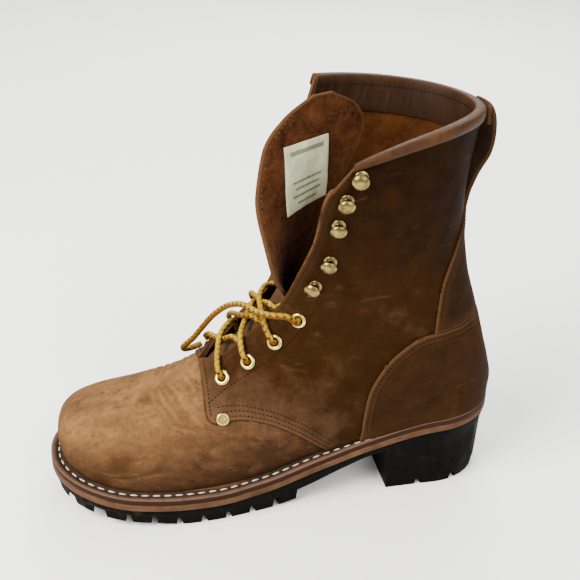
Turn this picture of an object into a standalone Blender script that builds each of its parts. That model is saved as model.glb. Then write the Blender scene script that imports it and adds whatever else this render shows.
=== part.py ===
"""A left lace-up work boot with a high shaft, lug sole and stacked heel, standing empty and unlaced at the top.

Sizes are in millimetres and become metres when a mesh is made. The toe points to -X, the outer (lateral)
side of the foot is -Y, the inner (medial) side is +Y, and the lugs stand on the plane Z = 0.
"""

import math

import bmesh
import bpy
from mathutils import Matrix, Vector

MM = 0.001
FRAME_SHIFT_Y = 1.955
LATERAL = -1.0
MEDIAL = 1.0
SIDES = (LATERAL, MEDIAL)
SIDE_NAMES = {LATERAL: "lateral", MEDIAL: "medial"}

# Driving sizes
GAP = 0.3
SOLE_LENGTH = 316.0
TOE_X = -SOLE_LENGTH / 2
HEEL_X = SOLE_LENGTH / 2
TOE_ROUND = 62.0
HEEL_ROUND = 46.0
TOE_POWER = 2.2
HEEL_POWER = 2.0
TOE_SWING = 4.6
HEEL_SWING = -0.8

WELT_THICKNESS = 4.2
MIDSOLE_THICKNESS = 5.0
TOE_LEDGE = 9.0
HEEL_LEDGE = 4.0
FEATHER_GAP = 0.5
LEDGE_FADE = (10.0, 90.0)
INSOLE_RISE = 3.0
INSOLE_CLEARANCE = 3.8

UPPER_WALL = 2.2
QUARTER_STEP = 1.6
COUNTER_THICKNESS = 1.8
BACKSTAY_THICKNESS = 1.4
BINDING_THICKNESS = 1.4
OVERLAY_GAP = 0.35

LUG_PITCH = 17.0
LUG_LENGTH = 12.6
LUG_DEPTH = 21.0
LUG_ROOT = 1.2
SOLE_TAPER = 3.6
FOREFOOT_END = 9.0
HEEL_BREAST = 77.0

LACE_DIAMETER = 4.2
EYELET_COUNT = 4
HARDWARE_LIFT = 0.6

# Half widths of the welt to each side of the foot's centre line, before the ends are rounded
WELT_COLUMNS = ("x", "lateral", "medial", "top")
WELT_ROWS = (
    (-157.0, 50.0, 53.0, 34.0),
    (-130.0, 53.0, 54.5, 30.0),
    (-105.0, 55.5, 54.5, 27.0),
    (-75.0, 56.8, 53.0, 24.6),
    (-50.0, 55.5, 49.5, 24.0),
    (-15.0, 50.0, 41.5, 27.0),
    (25.0, 44.0, 37.0, 37.0),
    (63.0, 41.0, 38.0, 48.0),
    (107.0, 39.5, 39.0, 57.5),
    (157.0, 39.0, 39.0, 61.0),
)

# The plane of the lug tips: flat under the ball, rising to the toe and to the arch
TREAD_COLUMNS = ("x", "tip", "web")
TREAD_ROWS = (
    (-157.0, 12.0, 18.0),
    (-125.0, 7.5, 14.0),
    (-95.0, 4.0, 10.5),
    (-70.0, 0.6, 7.0),
    (-60.0, 0.0, 6.2),
    (-22.0, 0.0, 6.5),
    (6.0, 3.0, 11.0),
    (40.0, 16.0, 24.0),
    (75.0, 30.0, 36.0),
    (157.0, 36.0, 42.0),
)

# Cross sections of the upper. Each lies in a plane from its front line, on the ridge of the vamp or the
# edge of the facing, down to the sole or the back line. A sole row takes its height from the welt.
SECTION_COLUMNS = (
    "name", "front_x", "front_z", "lateral_shift", "lateral_drop", "back_x", "back_z",
    "lateral_width", "medial_width", "lateral_gap", "medial_gap", "fullness", "heel_fullness", "crown",
)
SECTION_ROWS = (
    ("toe_tip", -148.0, 34.0, 0, 0, -148.0, 0, 0.0, 0.0, 0, 0, 0.80, 1.0, 0.9),
    ("toe_front", -150.8, 42.0, 0, 0, -147.0, 0, 9.5, 9.5, 0, 0, 0.80, 1.0, 0.9),
    ("toe_wall", -152.0, 51.0, 0, 0, -144.0, 0, 18.0, 18.0, 0, 0, 0.80, 1.0, 0.9),
    ("toe_shoulder", -149.5, 60.5, 0, 0, -138.0, 0, 27.5, 27.5, 0, 0, 0.80, 1.0, 0.9),
    ("toe_top", -140.0, 69.0, 0, 0, -128.0, 0, 36.0, 36.0, 0, 0, 0.80, 1.0, 0.9),
    ("toe_box", -122.0, 74.5, 0, 0, -113.0, 0, 42.5, 42.0, 0, 0, 0.82, 1.0, 0.9),
    ("toe_back", -103.0, 77.8, 0, 0, -97.0, 0, 46.0, 44.5, 0, 0, 0.84, 1.0, 0.92),
    ("ball_front", -86.0, 82.6, 0, 0, -80.0, 0, 47.5, 45.0, 0, 0, 0.86, 1.0, 0.95),
    ("ball", -70.0, 89.2, 0, 0, -60.0, 0, 47.5, 43.5, 0, 0, 0.90, 1.0, 1.0),
    ("throat", -54.0, 98.5, 0, 0, -38.0, 0, 46.0, 41.0, 0, 0, 0.94, 1.0, 1.0),
    ("first_eyelet", -40.0, 106.5, 0, 0, -12.0, 0, 44.0, 39.0, 10, 15, 0.97, 1.0, 1.0),
    ("second_eyelet", -24.6, 121.5, 0, 0, 16.0, 0, 42.5, 38.0, 12, 17, 1.0, 1.0, 1.0),
    ("instep", -11.0, 135.5, 0, 0, 46.0, 0, 41.0, 37.5, 14, 17.5, 1.0, 1.0, 1.0),
    ("last_eyelet", -3.0, 147.0, 0, 0, 78.0, 0, 40.0, 37.5, 17, 18, 1.0, 0.95, 1.0),
    ("ankle_front", 3.0, 161.0, 0, 0, 110.0, 0, 39.5, 38.0, 21, 19, 1.0, 0.88, 1.0),
    ("first_hook", 7.0, 175.0, 0, 0, 138.0, 0, 39.5, 38.5, 26, 21.5, 1.0, 0.82, 1.0),
    ("heel_base", 10.5, 188.0, 0, 0, 154.0, 0, 40.0, 39.0, 31, 25, 1.0, 0.80, 1.0),
    ("heel_bulge", 13.0, 201.0, 0.0, 2, 150.5, 80.0, 41.0, 39.5, 36, 30, 1.0, 0.80, 1.0),
    ("heel_top", 15.0, 213.0, -1.0, 5, 143.5, 106.0, 42.5, 40.0, 40.0, 33, 1.0, 0.82, 1.0),
    ("ankle_back", 17.0, 224.0, -2.0, 7, 135.5, 135.0, 44.5, 41.0, 43.0, 36, 1.0, 0.86, 1.0),
    ("ankle_neck", 18.5, 233.0, -3.0, 8, 126.5, 165.0, 47.0, 42.5, 45.0, 38, 1.0, 0.90, 1.0),
    ("shaft_low", 20.0, 242.0, -3.5, 9.5, 121.5, 196.0, 49.5, 45.0, 47.5, 40, 1.0, 0.94, 1.0),
    ("shaft_middle", 21.5, 251.0, -3.0, 12, 120.5, 225.0, 51.5, 48.0, 49.5, 42, 1.0, 0.96, 1.0),
    ("band_edge", 23.5, 260.0, -0.5, 16, 122.5, 254.0, 52.5, 50.5, 51.0, 44, 1.0, 0.98, 1.0),
    ("collar", 30.0, 282.0, 3.0, 26, 126.0, 276.0, 52.0, 52.0, 51.0, 46, 1.0, 1.0, 1.0),
)
ROW = {row[0]: index for index, row in enumerate(SECTION_ROWS)}
WIDTH_BLEND = 16.0

# Side views of the sewn overlays, as (x, z) corners of a cut through both sides
QUARTER_EDGE = (
    (24.5, 46), (14.5, 55), (3.4, 63.6), (-11, 71.6), (-27, 75.4), (-38, 75), (-47, 73.6), (-51, 75),
    (-52.5, 79), (-52.5, 330), (220, 330),
)
QUARTER_FOOT = 33.0
COUNTER_EDGE = (
    (54.3, 69.7), (57.3, 90.5), (66.8, 109.4), (76, 120), (88.6, 128.4), (102, 131), (120, 131.6), (220, 132.5),
)
COUNTER_FOOT = 54.0
SOLE_LINE = (220.0, 154.0, 135.0, 115.0, 95.0, 75.0, 60.0)
FOOT_GAP = 1.5
QUARTER_HEEL_RISE = 6.5
HEEL_RISE_FADE = (100.0, 35.0)
BACKSTAY_EDGE = (
    (99, 132.4), (99.6, 150), (101.5, 169), (110.5, 189), (119, 202), (121, 212), (220, 212),
    (220, 133.8), (120, 132.9), (102, 132.4),
)

# The tongue from its sewn root to its free end: middle line, half width, the turn of its width away from
# straight across the boot, and how far its edges curl back
TONGUE_COLUMNS = ("x", "y", "z", "lateral_half", "medial_half", "turn", "curl")
TONGUE_ROWS = (
    (-64.0, 2.6, 87.6, 12.0, 12.0, 0.0, 3.0),
    (-50.0, 2.0, 94.5, 17.0, 20.0, 0.0, 8.0),
    (-33.0, 1.5, 107.0, 20.0, 26.0, 0.0, 12.0),
    (-15.0, 1.0, 125.0, 20.0, 25.0, 3.0, 12.0),
    (-1.0, 2.0, 145.0, 11.0, 22.0, 14.0, 9.0),
    (7.0, 6.5, 168.0, 30.0, 19.0, 34.0, 5.0),
    (13.0, 9.0, 195.0, 41.0, 26.0, 46.0, 4.0),
    (20.0, 14.5, 224.0, 46.0, 36.0, 58.0, 3.0),
    (26.0, 18.0, 250.0, 44.0, 40.0, 62.0, 2.0),
    (29.0, 18.0, 268.0, 31.0, 29.0, 63.0, 1.0),
    (30.0, 18.0, 279.0, 8.0, 8.0, 63.0, 0.0),
)
TONGUE_THICKNESS = 2.6

# The pull loop's middle line in the plane Y = 0, as (x, z)
LOOP_PATH = (
    (131.2, 268.5), (132.0, 275.5), (134.8, 278.0), (137.4, 272.0), (138.2, 261.0), (136.4, 247.0),
    (131.2, 233.0), (127.2, 219.5), (126.2, 209.0),
)
LOOP_THICKNESS = 2.4
LOOP_WIDTH = 20.0

# Eyelets and hooks along the facings, measured from the throat and back from the facing's edge
EYELET_SETBACK = {LATERAL: 16.5, MEDIAL: 11.0}
FIRST_EYELET_ALONG = 16.5
EYELET_SPACING = 21.5
HOOK_COLUMNS = ("along", "setback")
HOOK_ROWS = (
    (111.0, 14.0),
    (135.0, 15.5),
    (160.0, 13.0),
    (174.0, 12.0),
    (186.5, 12.0),
)
MEDIAL_STRETCH = 1.07
RIVET_PLACE = (9.35, 0.50)

# The lace: how far it stands off what it crosses, how far each strand runs past the middle of the throat
# towards the next eyelet, and the free strand that arches from the last lateral eyelet over the throat
LACE_CLEARANCE = 0.6
LACE_SIDES = 6
STRAND_REACH = 0.55
STRAND_ROW_STEP = 0.75
TAIL_COLUMNS = ("x", "y", "z")
TAIL_ROWS = (
    (-0.3, -33.0, 148.6),
    (-9.3, -30.0, 148.6),
    (-17.7, -22.0, 147.4),
    (-25.0, -10.0, 147.0),
    (-33.2, 2.0, 140.3),
    (-41.5, 11.0, 129.0),
    (-47.6, 18.0, 117.0),
    (-54.8, 24.0, 103.5),
    (-60.9, 29.0, 94.5),
    (-60.0, 34.5, 88.5),
    (-54.0, 39.0, 86.5),
    (-47.0, 41.5, 87.5),
)

COLOURS = {
    "leather": ((0.20, 0.105, 0.045), 0.75, 0.0),
    "leather_dark": ((0.13, 0.065, 0.035), 0.7, 0.0),
    "suede": ((0.11, 0.045, 0.02), 0.95, 0.0),
    "binding": ((0.085, 0.05, 0.04), 0.5, 0.0),
    "welt": ((0.10, 0.045, 0.03), 0.55, 0.0),
    "midsole": ((0.35, 0.19, 0.12), 0.65, 0.0),
    "rubber": ((0.012, 0.013, 0.012), 0.7, 0.0),
    "insole": ((0.22, 0.13, 0.07), 0.85, 0.0),
    "brass": ((0.75, 0.60, 0.28), 0.25, 1.0),
    "lace": ((0.62, 0.36, 0.07), 0.8, 0.0),
}


def clear_scene():
    for item in list(bpy.data.objects):
        bpy.data.objects.remove(item)


def material(name):
    found = bpy.data.materials.get(name)
    if found:
        return found
    colour, roughness, metallic = COLOURS[name]
    made = bpy.data.materials.new(name)
    made.use_nodes = True
    shader = made.node_tree.nodes["Principled BSDF"]
    shader.inputs["Base Color"].default_value = (*colour, 1.0)
    shader.inputs["Roughness"].default_value = roughness
    shader.inputs["Metallic"].default_value = metallic
    made.diffuse_color = (*colour, 1.0)
    return made


def clamp(value, low=0.0, high=1.0):
    return max(low, min(high, value))


def smoothstep(value):
    value = clamp(value)
    return value * value * (3 - 2 * value)


def smooth_curve(knots, values, at):
    """A curve through the values that never overshoots them, held level past its ends."""
    if at <= knots[0]:
        return values[0]
    if at >= knots[-1]:
        return values[-1]
    i = max(k for k in range(len(knots) - 1) if knots[k] <= at)

    def slope(k):
        return (values[k + 1] - values[k]) / (knots[k + 1] - knots[k])

    def tangent(k):
        if k == 0:
            return slope(0)
        if k == len(knots) - 1:
            return slope(k - 1)
        before, after = slope(k - 1), slope(k)
        return 0.0 if before * after <= 0 else 2 * before * after / (before + after)

    step = knots[i + 1] - knots[i]
    t = (at - knots[i]) / step
    return (
        (2 * t**3 - 3 * t**2 + 1) * values[i] + (t**3 - 2 * t**2 + t) * step * tangent(i)
        + (3 * t**2 - 2 * t**3) * values[i + 1] + (t**3 - t**2) * step * tangent(i + 1)
    )


def column(columns, rows, name):
    place = columns.index(name)
    return [row[place] for row in rows]


def by_x(columns, rows, name, x):
    return smooth_curve(column(columns, rows, "x"), column(columns, rows, name), x)


def by_row(columns, rows, name, u):
    values = column(columns, rows, name)
    return smooth_curve(list(range(len(values))), values, u)


# The sole's outline and heights

def welt_top(x):
    return by_x(WELT_COLUMNS, WELT_ROWS, "top", x)


def tread(name, x):
    return by_x(TREAD_COLUMNS, TREAD_ROWS, name, x)


def outsole_top(x):
    return welt_top(x) - WELT_THICKNESS - MIDSOLE_THICKNESS - 2 * GAP


def swing(x):
    return HEEL_SWING + (TOE_SWING - HEEL_SWING) * (HEEL_X - x) / SOLE_LENGTH


def ledge(x):
    low, high = LEDGE_FADE
    return TOE_LEDGE + (HEEL_LEDGE - TOE_LEDGE) * smoothstep((x - low) / (high - low))


def rounded_end(distance, length, power):
    share = clamp(distance / length)
    return (1 - (1 - share) ** power) ** (1 / power)


def half_width(x, side, inset, toe_inset, heel_inset):
    body = by_x(WELT_COLUMNS, WELT_ROWS, SIDE_NAMES[side], x) - inset
    toe = rounded_end(x - TOE_X - toe_inset, TOE_ROUND - toe_inset, TOE_POWER)
    heel = rounded_end(HEEL_X - heel_inset - x, HEEL_ROUND - heel_inset, HEEL_POWER)
    return max(body, 0.0) * toe * heel


def outline(count, toe_inset, heel_inset, extra=0.0):
    """Points (x, y) around the sole, from the heel's middle along the lateral side to the toe and back."""
    toe, heel = TOE_X + toe_inset + extra, HEEL_X - heel_inset - extra

    def point(k, side):
        x = heel + (toe - heel) * (1 - math.cos(math.pi * k / count)) / 2
        inset = extra + heel_inset if toe_inset == heel_inset else extra + ledge(x)
        return x, swing(x) + side * half_width(x, side, inset, toe_inset + extra, heel_inset + extra)

    lateral = [point(k, LATERAL) for k in range(count + 1)]
    medial = [point(k, MEDIAL) for k in range(count - 1, 0, -1)]
    return lateral + medial


# The upper's surface

def section_value(name, u):
    return by_row(SECTION_COLUMNS, SECTION_ROWS, name, u)


def feather_half_width(x, side):
    return half_width(x, side, ledge(x), TOE_LEDGE, HEEL_LEDGE)


def section(u, side):
    """The front and back ends of a section in side view, its width, and its half widths at those ends."""
    side_name = SIDE_NAMES[side]
    shift = section_value("lateral_shift", u) if side == LATERAL else 0.0
    front = Vector((section_value("front_x", u) + shift, section_value("front_z", u)))
    back_x = section_value("back_x", u)
    on_sole = u <= ROW["heel_base"]
    feather = welt_top(back_x) + FEATHER_GAP
    if on_sole:
        back_z, end = feather, feather_half_width(back_x, side)
    else:
        first = ROW["heel_base"]
        heights = [welt_top(HEEL_X - HEEL_LEDGE) + FEATHER_GAP] + column(SECTION_COLUMNS, SECTION_ROWS, "back_z")[first + 1:]
        back_z, end = smooth_curve(list(range(first, len(SECTION_ROWS))), heights, u), 0.0
    wide = section_value(side_name + "_width", u)
    width = max((wide**WIDTH_BLEND + end**WIDTH_BLEND) ** (1 / WIDTH_BLEND), 1e-6)
    gap = min(section_value(side_name + "_gap", u), 0.995 * width)
    return front, Vector((back_x, back_z)), width, gap, min(end, 0.995 * width)


def surface(u, v, side):
    """A point of the upper's outer face: v runs from the front line, 0, to the sole or the back line, 1."""
    front, back, width, gap, end = section(u, side)
    fullness, heel_fullness = section_value("fullness", u), section_value("heel_fullness", u)
    crown = section_value("crown", u)
    bend = smoothstep((u - 12) / 4) * (1 - smoothstep((u - 16) / 5))
    start = math.asin((gap / width) ** (1 / fullness))
    stop = math.pi - math.asin((end / width) ** (1 / heel_fullness))

    def depth(angle):
        level = math.cos(angle)
        return (1 - math.copysign(abs(level) ** crown, level)) / 2

    angle = start + (stop - start) * v
    power = fullness if angle < math.pi / 2 else heel_fullness
    out = width * max(math.sin(angle), 0.0) ** power
    share = (depth(angle) - depth(start)) / (depth(stop) - depth(start))
    height_share = share + (v - share) * bend * smoothstep(v)
    drop = section_value("lateral_drop", u) if side == LATERAL else 0.0
    x = front.x + (back.x - front.x) * share
    z = front.y + (back.y - front.y) * height_share - drop * (1 - v) ** 3
    return Vector((x, swing(back.x) + side * out, z))


def normal(u, v, side):
    step = 0.01
    last = len(SECTION_ROWS) - 1
    u = max(u, 2 * step)
    along = surface(min(u + step, last), v, side) - surface(u - step, v, side)
    around = surface(u, min(v + step, 1.0), side) - surface(u, max(v - step, 0.0), side)
    gap, end = section(u, side)[3:]
    if v <= 0.0 and gap < 0.01:
        around = Vector((0.0, side, 0.0))
    if v >= 1.0 and end < 0.01:
        around = Vector((0.0, -side, 0.0))
    out = side * along.cross(around)
    if v >= 1.0 and u <= ROW["heel_base"]:
        out.z = 0.0
    return out.normalized()


def upper_point(u, v, side, offset):
    return surface(u, v, side) + normal(u, v, side) * offset


def section_length(u, side, steps=16):
    points = [surface(u, k / steps, side) for k in range(steps + 1)]
    return sum((b - a).length for a, b in zip(points, points[1:]))


def share_from_front(u, side, distance):
    """The v of the point that lies this far from the front line, along its section."""
    steps, gone = 60, 0.0
    last = surface(u, 0.0, side)
    for k in range(1, steps + 1):
        here = surface(u, k / steps, side)
        length = (here - last).length
        if gone + length >= distance:
            return (k - 1 + (distance - gone) / length) / steps
        gone, last = gone + length, here
    return 1.0


def row_along_facing(side, distance):
    """The u of the section whose facing edge lies this far from the throat, along the edge."""
    first, last, steps = ROW["throat"], ROW["collar"], 300
    gone, point = 0.0, surface(first, 0.0, side)
    for k in range(1, steps + 1):
        u = first + (last - first) * k / steps
        here = surface(u, 0.0, side)
        gone += (here - point).length
        if gone >= distance:
            return u
        point = here
    return float(last)


# Meshes

def new_object(name, mesh, finish, smooth_angle=40.0):
    mesh.materials.clear()
    mesh.materials.append(material(finish))
    mesh.shade_smooth()
    mesh.set_sharp_from_angle(angle=math.radians(smooth_angle))
    made = bpy.data.objects.new(name, mesh)
    bpy.context.scene.collection.objects.link(made)
    return made


def closed_mesh(name, points, faces):
    """A closed mesh from points in millimetres, with its faces turned outwards."""
    mesh = bpy.data.meshes.new(name)
    mesh.from_pydata([Vector(p) * MM for p in points], [], faces)
    shape = bmesh.new()
    shape.from_mesh(mesh)
    bmesh.ops.recalc_face_normals(shape, faces=shape.faces)
    shape.to_mesh(mesh)
    shape.free()
    return mesh


def boolean(target, tool, operation):
    modifier = target.modifiers.new(operation.lower(), "BOOLEAN")
    modifier.operation = operation
    modifier.object = tool
    modifier.solver = "EXACT"
    graph = bpy.context.evaluated_depsgraph_get()
    result = bpy.data.meshes.new_from_object(target.evaluated_get(graph))
    target.modifiers.clear()
    target.data = result
    bpy.data.objects.remove(tool)
    return target


def loft(rings, closed_ends):
    """Points and faces of a tube through rings of equal length, with fans or strips over its ends."""
    size = len(rings[0])
    points = [p for ring in rings for p in ring]
    faces = []
    for r in range(len(rings) - 1):
        for k in range(size):
            n = (k + 1) % size
            a, b = r * size + k, r * size + n
            faces.append((a, b, b + size, a + size))
    for base in ([0, (len(rings) - 1) * size] if closed_ends else []):
        half = size // 2
        faces.append((base, base + 1, base + size - 1))
        for k in range(1, half - 1):
            faces.append((base + k, base + k + 1, base + size - k - 1, base + size - k))
        faces.append((base + half - 1, base + half, base + half + 1))
    if not closed_ends:
        start = (len(rings) - 1) * size
        for k in range(size):
            n = (k + 1) % size
            faces.append((start + k, start + n, n, k))
    return points, faces


def shell(name, rows, shares, outer, inner, finish):
    """A layer of the upper between two offsets, over the given rows, with a rim along its open edges."""
    outside, inside, number, faces = [], [], {}, []

    def corner(u, v, side):
        point = upper_point(u, v, side, outer)
        key = tuple(round(c, 2) for c in point)
        if key not in number:
            number[key] = len(outside)
            outside.append(point)
            inside.append(upper_point(u, v, side, inner))
        return number[key]

    for side in SIDES:
        grid = [[corner(u, v, side) for v in shares(u, side)] for u in rows]
        for near, far in zip(grid, grid[1:]):
            for j in range(len(near) - 1):
                quad = [near[j], far[j], far[j + 1], near[j + 1]]
                for face in (quad[:3], [quad[0], quad[2], quad[3]]):
                    if len(set(face)) == 3:
                        faces.append(face if side == LATERAL else face[::-1])
    edges = {(f[k], f[(k + 1) % 3]) for f in faces for k in range(3)}
    count = len(outside)
    rim = [(a, b) for a, b in edges if (b, a) not in edges]
    skin = faces + [[k + count for k in face[::-1]] for face in faces]
    skin += [(b, a, a + count, b + count) for a, b in sorted(rim)]
    return new_object(name, closed_mesh(name, outside + inside, skin), finish)


def prism(corners, reach=120.0):
    """A cut through both sides of the boot with this side view."""
    size = len(corners)
    points = [(x, y, z) for y in (-reach, reach) for x, z in corners]
    faces = [tuple(range(size)), tuple(range(size, 2 * size))]
    faces += [(k, (k + 1) % size, (k + 1) % size + size, k + size) for k in range(size)]
    return new_object("cut", closed_mesh("cut", points, faces), "leather")


def side_cut(edge, foot, heel_rise=0.0):
    """The side view of an overlay that runs down to the sole, or ends higher under the counter."""
    start, length = HEEL_RISE_FADE
    line = [x for x in SOLE_LINE if x > foot] + [foot]
    rise = [FOOT_GAP + heel_rise * smoothstep((x - start) / length) for x in line]
    return [(x, welt_top(x) + up) for x, up in zip(line, rise)] + list(edge)


def even_shares(count, first=0.0, last=1.0):
    return [first + (last - first) * k / count for k in range(count + 1)]


# Sole pieces

OUTLINE_STEPS = 24


def plate(name, finish, layers):
    """A closed plate through layers of (extra inset, toe inset, heel inset, height of x)."""
    rings = []
    for extra, toe_inset, heel_inset, height in layers:
        rings.append([(x, y, height(x)) for x, y in outline(OUTLINE_STEPS, toe_inset, heel_inset, extra)])
    return new_object(name, closed_mesh(name, *loft(rings, True)), finish)


def make_midsole():
    def top(x):
        return welt_top(x) - WELT_THICKNESS - GAP

    def bottom(x):
        return top(x) - MIDSOLE_THICKNESS

    return plate("midsole", "midsole", [(0.6, 0, 0, top), (0.0, 0, 0, lambda x: top(x) - 1.0),
                                        (0.0, 0, 0, lambda x: bottom(x) + 1.0), (0.6, 0, 0, bottom)])


def make_welt():
    """A strip under the upper's edge, rounded along its outside."""
    inside = UPPER_WALL + 1.4

    def ring(extra, toe_inset, heel_inset, drop):
        return [(x, y, welt_top(x) - drop) for x, y in outline(OUTLINE_STEPS, toe_inset, heel_inset, extra)]

    rings = [
        ring(0.7, 0, 0, 0.0), ring(0.0, 0, 0, 0.9), ring(0.0, 0, 0, WELT_THICKNESS - 0.9),
        ring(0.6, 0, 0, WELT_THICKNESS), ring(inside, TOE_LEDGE, HEEL_LEDGE, WELT_THICKNESS),
        ring(inside, TOE_LEDGE, HEEL_LEDGE, 0.0),
    ]
    return new_object("welt", closed_mesh("welt", *loft(rings, False)), "welt")


def make_insole():
    """The footbed, standing on the midsole inside the welt and just clear of the upper's wall."""
    def bottom(x):
        return welt_top(x) - WELT_THICKNESS

    def top(x):
        return welt_top(x) + INSOLE_RISE

    layers = [(INSOLE_CLEARANCE + 1.0, TOE_LEDGE, HEEL_LEDGE, top), (INSOLE_CLEARANCE, TOE_LEDGE, HEEL_LEDGE, bottom)]
    return plate("insole", "insole", layers)


def block(name, bottom_corners, top_corners, bottom_z, top_z):
    """A tapered block between two outlines of equal length, each with its own height."""
    size = len(bottom_corners)
    points = [(x, y, bottom_z(x)) for x, y in bottom_corners] + [(x, y, top_z(x)) for x, y in top_corners]
    faces = [tuple(range(size)), tuple(range(size, 2 * size))]
    faces += [(k, (k + 1) % size, (k + 1) % size + size, k + size) for k in range(size)]
    return points, faces


def side_lug(side, start, length, depth, taper):
    """The outline of one lug on the sole's edge, from x = start towards the toe."""
    xs = [start - length * k / 2 for k in range(3)]
    edge = [(x, swing(x) + side * half_width(x, side, taper, taper, taper)) for x in xs]
    inner = [(x - 3.0, swing(x) + side * max(half_width(x, side, depth, taper, taper), 5.0)) for x in (xs[2], xs[0])]
    return edge + inner


def middle_lug(start, length):
    """A chevron between the rows of side lugs."""
    reach = {side: half_width(start, side, LUG_DEPTH + 5.0, 0, 0) for side in SIDES}
    low, high = swing(start) - reach[LATERAL], swing(start) + reach[MEDIAL]
    middle = (low + high) / 2
    back = [(start, low), (start - 5.0, middle), (start, high)]
    return back + [(x - length, y) for x, y in reversed(back)]


def toe_lug(taper):
    """The lug across the front of the toe, with its rounded front and hollow back."""
    steps, back = 4, -147.0
    toe = TOE_X + taper
    xs = [back + (toe - back) * math.sin(math.pi / 2 * k / steps) for k in range(steps + 1)]
    lateral = [(x, swing(x) - half_width(x, LATERAL, taper, taper, taper)) for x in xs]
    medial = [(x, swing(x) + half_width(x, MEDIAL, taper, taper, taper)) for x in reversed(xs[:-1])]
    return lateral + medial


def heel_lug(front, back, taper):
    """A slab across the heel. The last one follows the heel's round back."""
    steps = 6
    stop = min(back, HEEL_X - taper)
    xs = [front + (stop - front) * math.sin(math.pi / 2 * k / steps) for k in range(steps + 1)]
    lateral = [(x, swing(x) - half_width(x, LATERAL, taper, 0, taper)) for x in xs]
    medial = [(x, swing(x) + half_width(x, MEDIAL, taper, 0, taper)) for x in reversed(xs)]
    if back > HEEL_X - 12:
        medial = medial[1:]
    return lateral + medial


def make_outsole():
    """A moulded web under the midsole, with side, middle and toe lugs and a stacked heel."""
    def web(x):
        return tread("web", x)

    sole = plate("outsole", "rubber", [(1.0, 0, 0, outsole_top), (1.0, 0, 0, lambda x: outsole_top(x) - 3.0),
                                       (2.4, 0, 0, web)])
    pieces = []

    def tip(x):
        return tread("tip", x)

    def root(x):
        return web(x) + LUG_ROOT

    starts = [FOREFOOT_END - LUG_PITCH * k for k in range(8)]
    for start in starts:
        for side in SIDES:
            pieces.append((side_lug(side, start, LUG_LENGTH, LUG_DEPTH, SOLE_TAPER),
                           side_lug(side, start + 0.8, LUG_LENGTH + 1.6, LUG_DEPTH + 1.0, 2.7), tip, root))
        pieces.append((middle_lug(start - 3.0, 8.0), middle_lug(start - 2.4, 9.2), tip, root))
    for side in SIDES:
        pieces.append((side_lug(side, -131.0, 11.0, LUG_DEPTH, SOLE_TAPER),
                       side_lug(side, -130.2, 12.6, LUG_DEPTH + 1.0, 2.7), tip, root))
    pieces.append((toe_lug(SOLE_TAPER), toe_lug(2.7), tip, root))

    heel_split, heel_gap = 5.0, 4.5
    block_front, block_end = HEEL_BREAST - 3.0, HEEL_X
    pieces.append((heel_lug(HEEL_BREAST - 0.5, block_end, 3.2), heel_lug(block_front, block_end, 2.2),
                   lambda x: heel_split, root))
    slabs = ((HEEL_BREAST, 99.0), (99.0 + heel_gap, 126.0), (126.0 + heel_gap, block_end))
    for front, back in slabs:
        pieces.append((heel_lug(front, back, 4.2), heel_lug(front - 0.4, back + 0.4, 3.5),
                       lambda x: 0.0, lambda x: heel_split + 1.5))
    for bottom, top, low, high in pieces:
        tool = new_object("lug", closed_mesh("lug", *block("lug", bottom, top, low, high)), "rubber")
        boolean(sole, tool, "UNION")
    return sole


# Upper pieces

UPPER_SHARES = 12
UPPER_ROWS = (
    [0, 0.5, 1, 2, 3, 4, 5, 6, 7, 8, 9, 9.35, 10, 11, 12, 13, 13.5, 14, 15, 15.4, 15.75, 16]
    + [17, 18, 19, 20, 21, 22, 23, 23.68, 24]
)


def make_upper():
    """The vamp and shaft as one wall, with the quarters raised by a step where they lie over the vamp."""
    upper = shell("upper", UPPER_ROWS, lambda u, side: even_shares(UPPER_SHARES), 0.0, -UPPER_WALL, "leather")
    rim = 0.8

    def quarter_shares(u, side):
        length = section_length(u, side)
        return [max(v, rim / length) for v in even_shares(UPPER_SHARES)]

    rows = [u for u in UPPER_ROWS if u > ROW["throat"]]
    rows[-1] -= rim / 25.0
    quarter = shell("quarter", rows, quarter_shares, QUARTER_STEP, -0.9, "leather")
    boolean(quarter, prism(side_cut(QUARTER_EDGE, QUARTER_FOOT, QUARTER_HEEL_RISE)), "INTERSECT")
    boolean(upper, quarter, "UNION")
    return upper


def overlay(name, rows, cut, thickness, finish):
    """A piece sewn over the quarters, cut from a layer that follows the upper."""
    inner = QUARTER_STEP + OVERLAY_GAP

    def shares(u, side):
        return even_shares(UPPER_SHARES)[4:]

    piece = shell(name, rows, shares, inner + thickness, inner, finish)
    return boolean(piece, prism(cut), "INTERSECT")


def make_counter():
    rows = [u for u in UPPER_ROWS if 11 <= u <= 21]
    return overlay("counter", rows, side_cut(COUNTER_EDGE, COUNTER_FOOT), COUNTER_THICKNESS, "leather")


def make_backstay():
    rows = [u for u in UPPER_ROWS if 16 <= u <= 23]
    return overlay("backstay", rows, BACKSTAY_EDGE, BACKSTAY_THICKNESS, "leather_dark")


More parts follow.
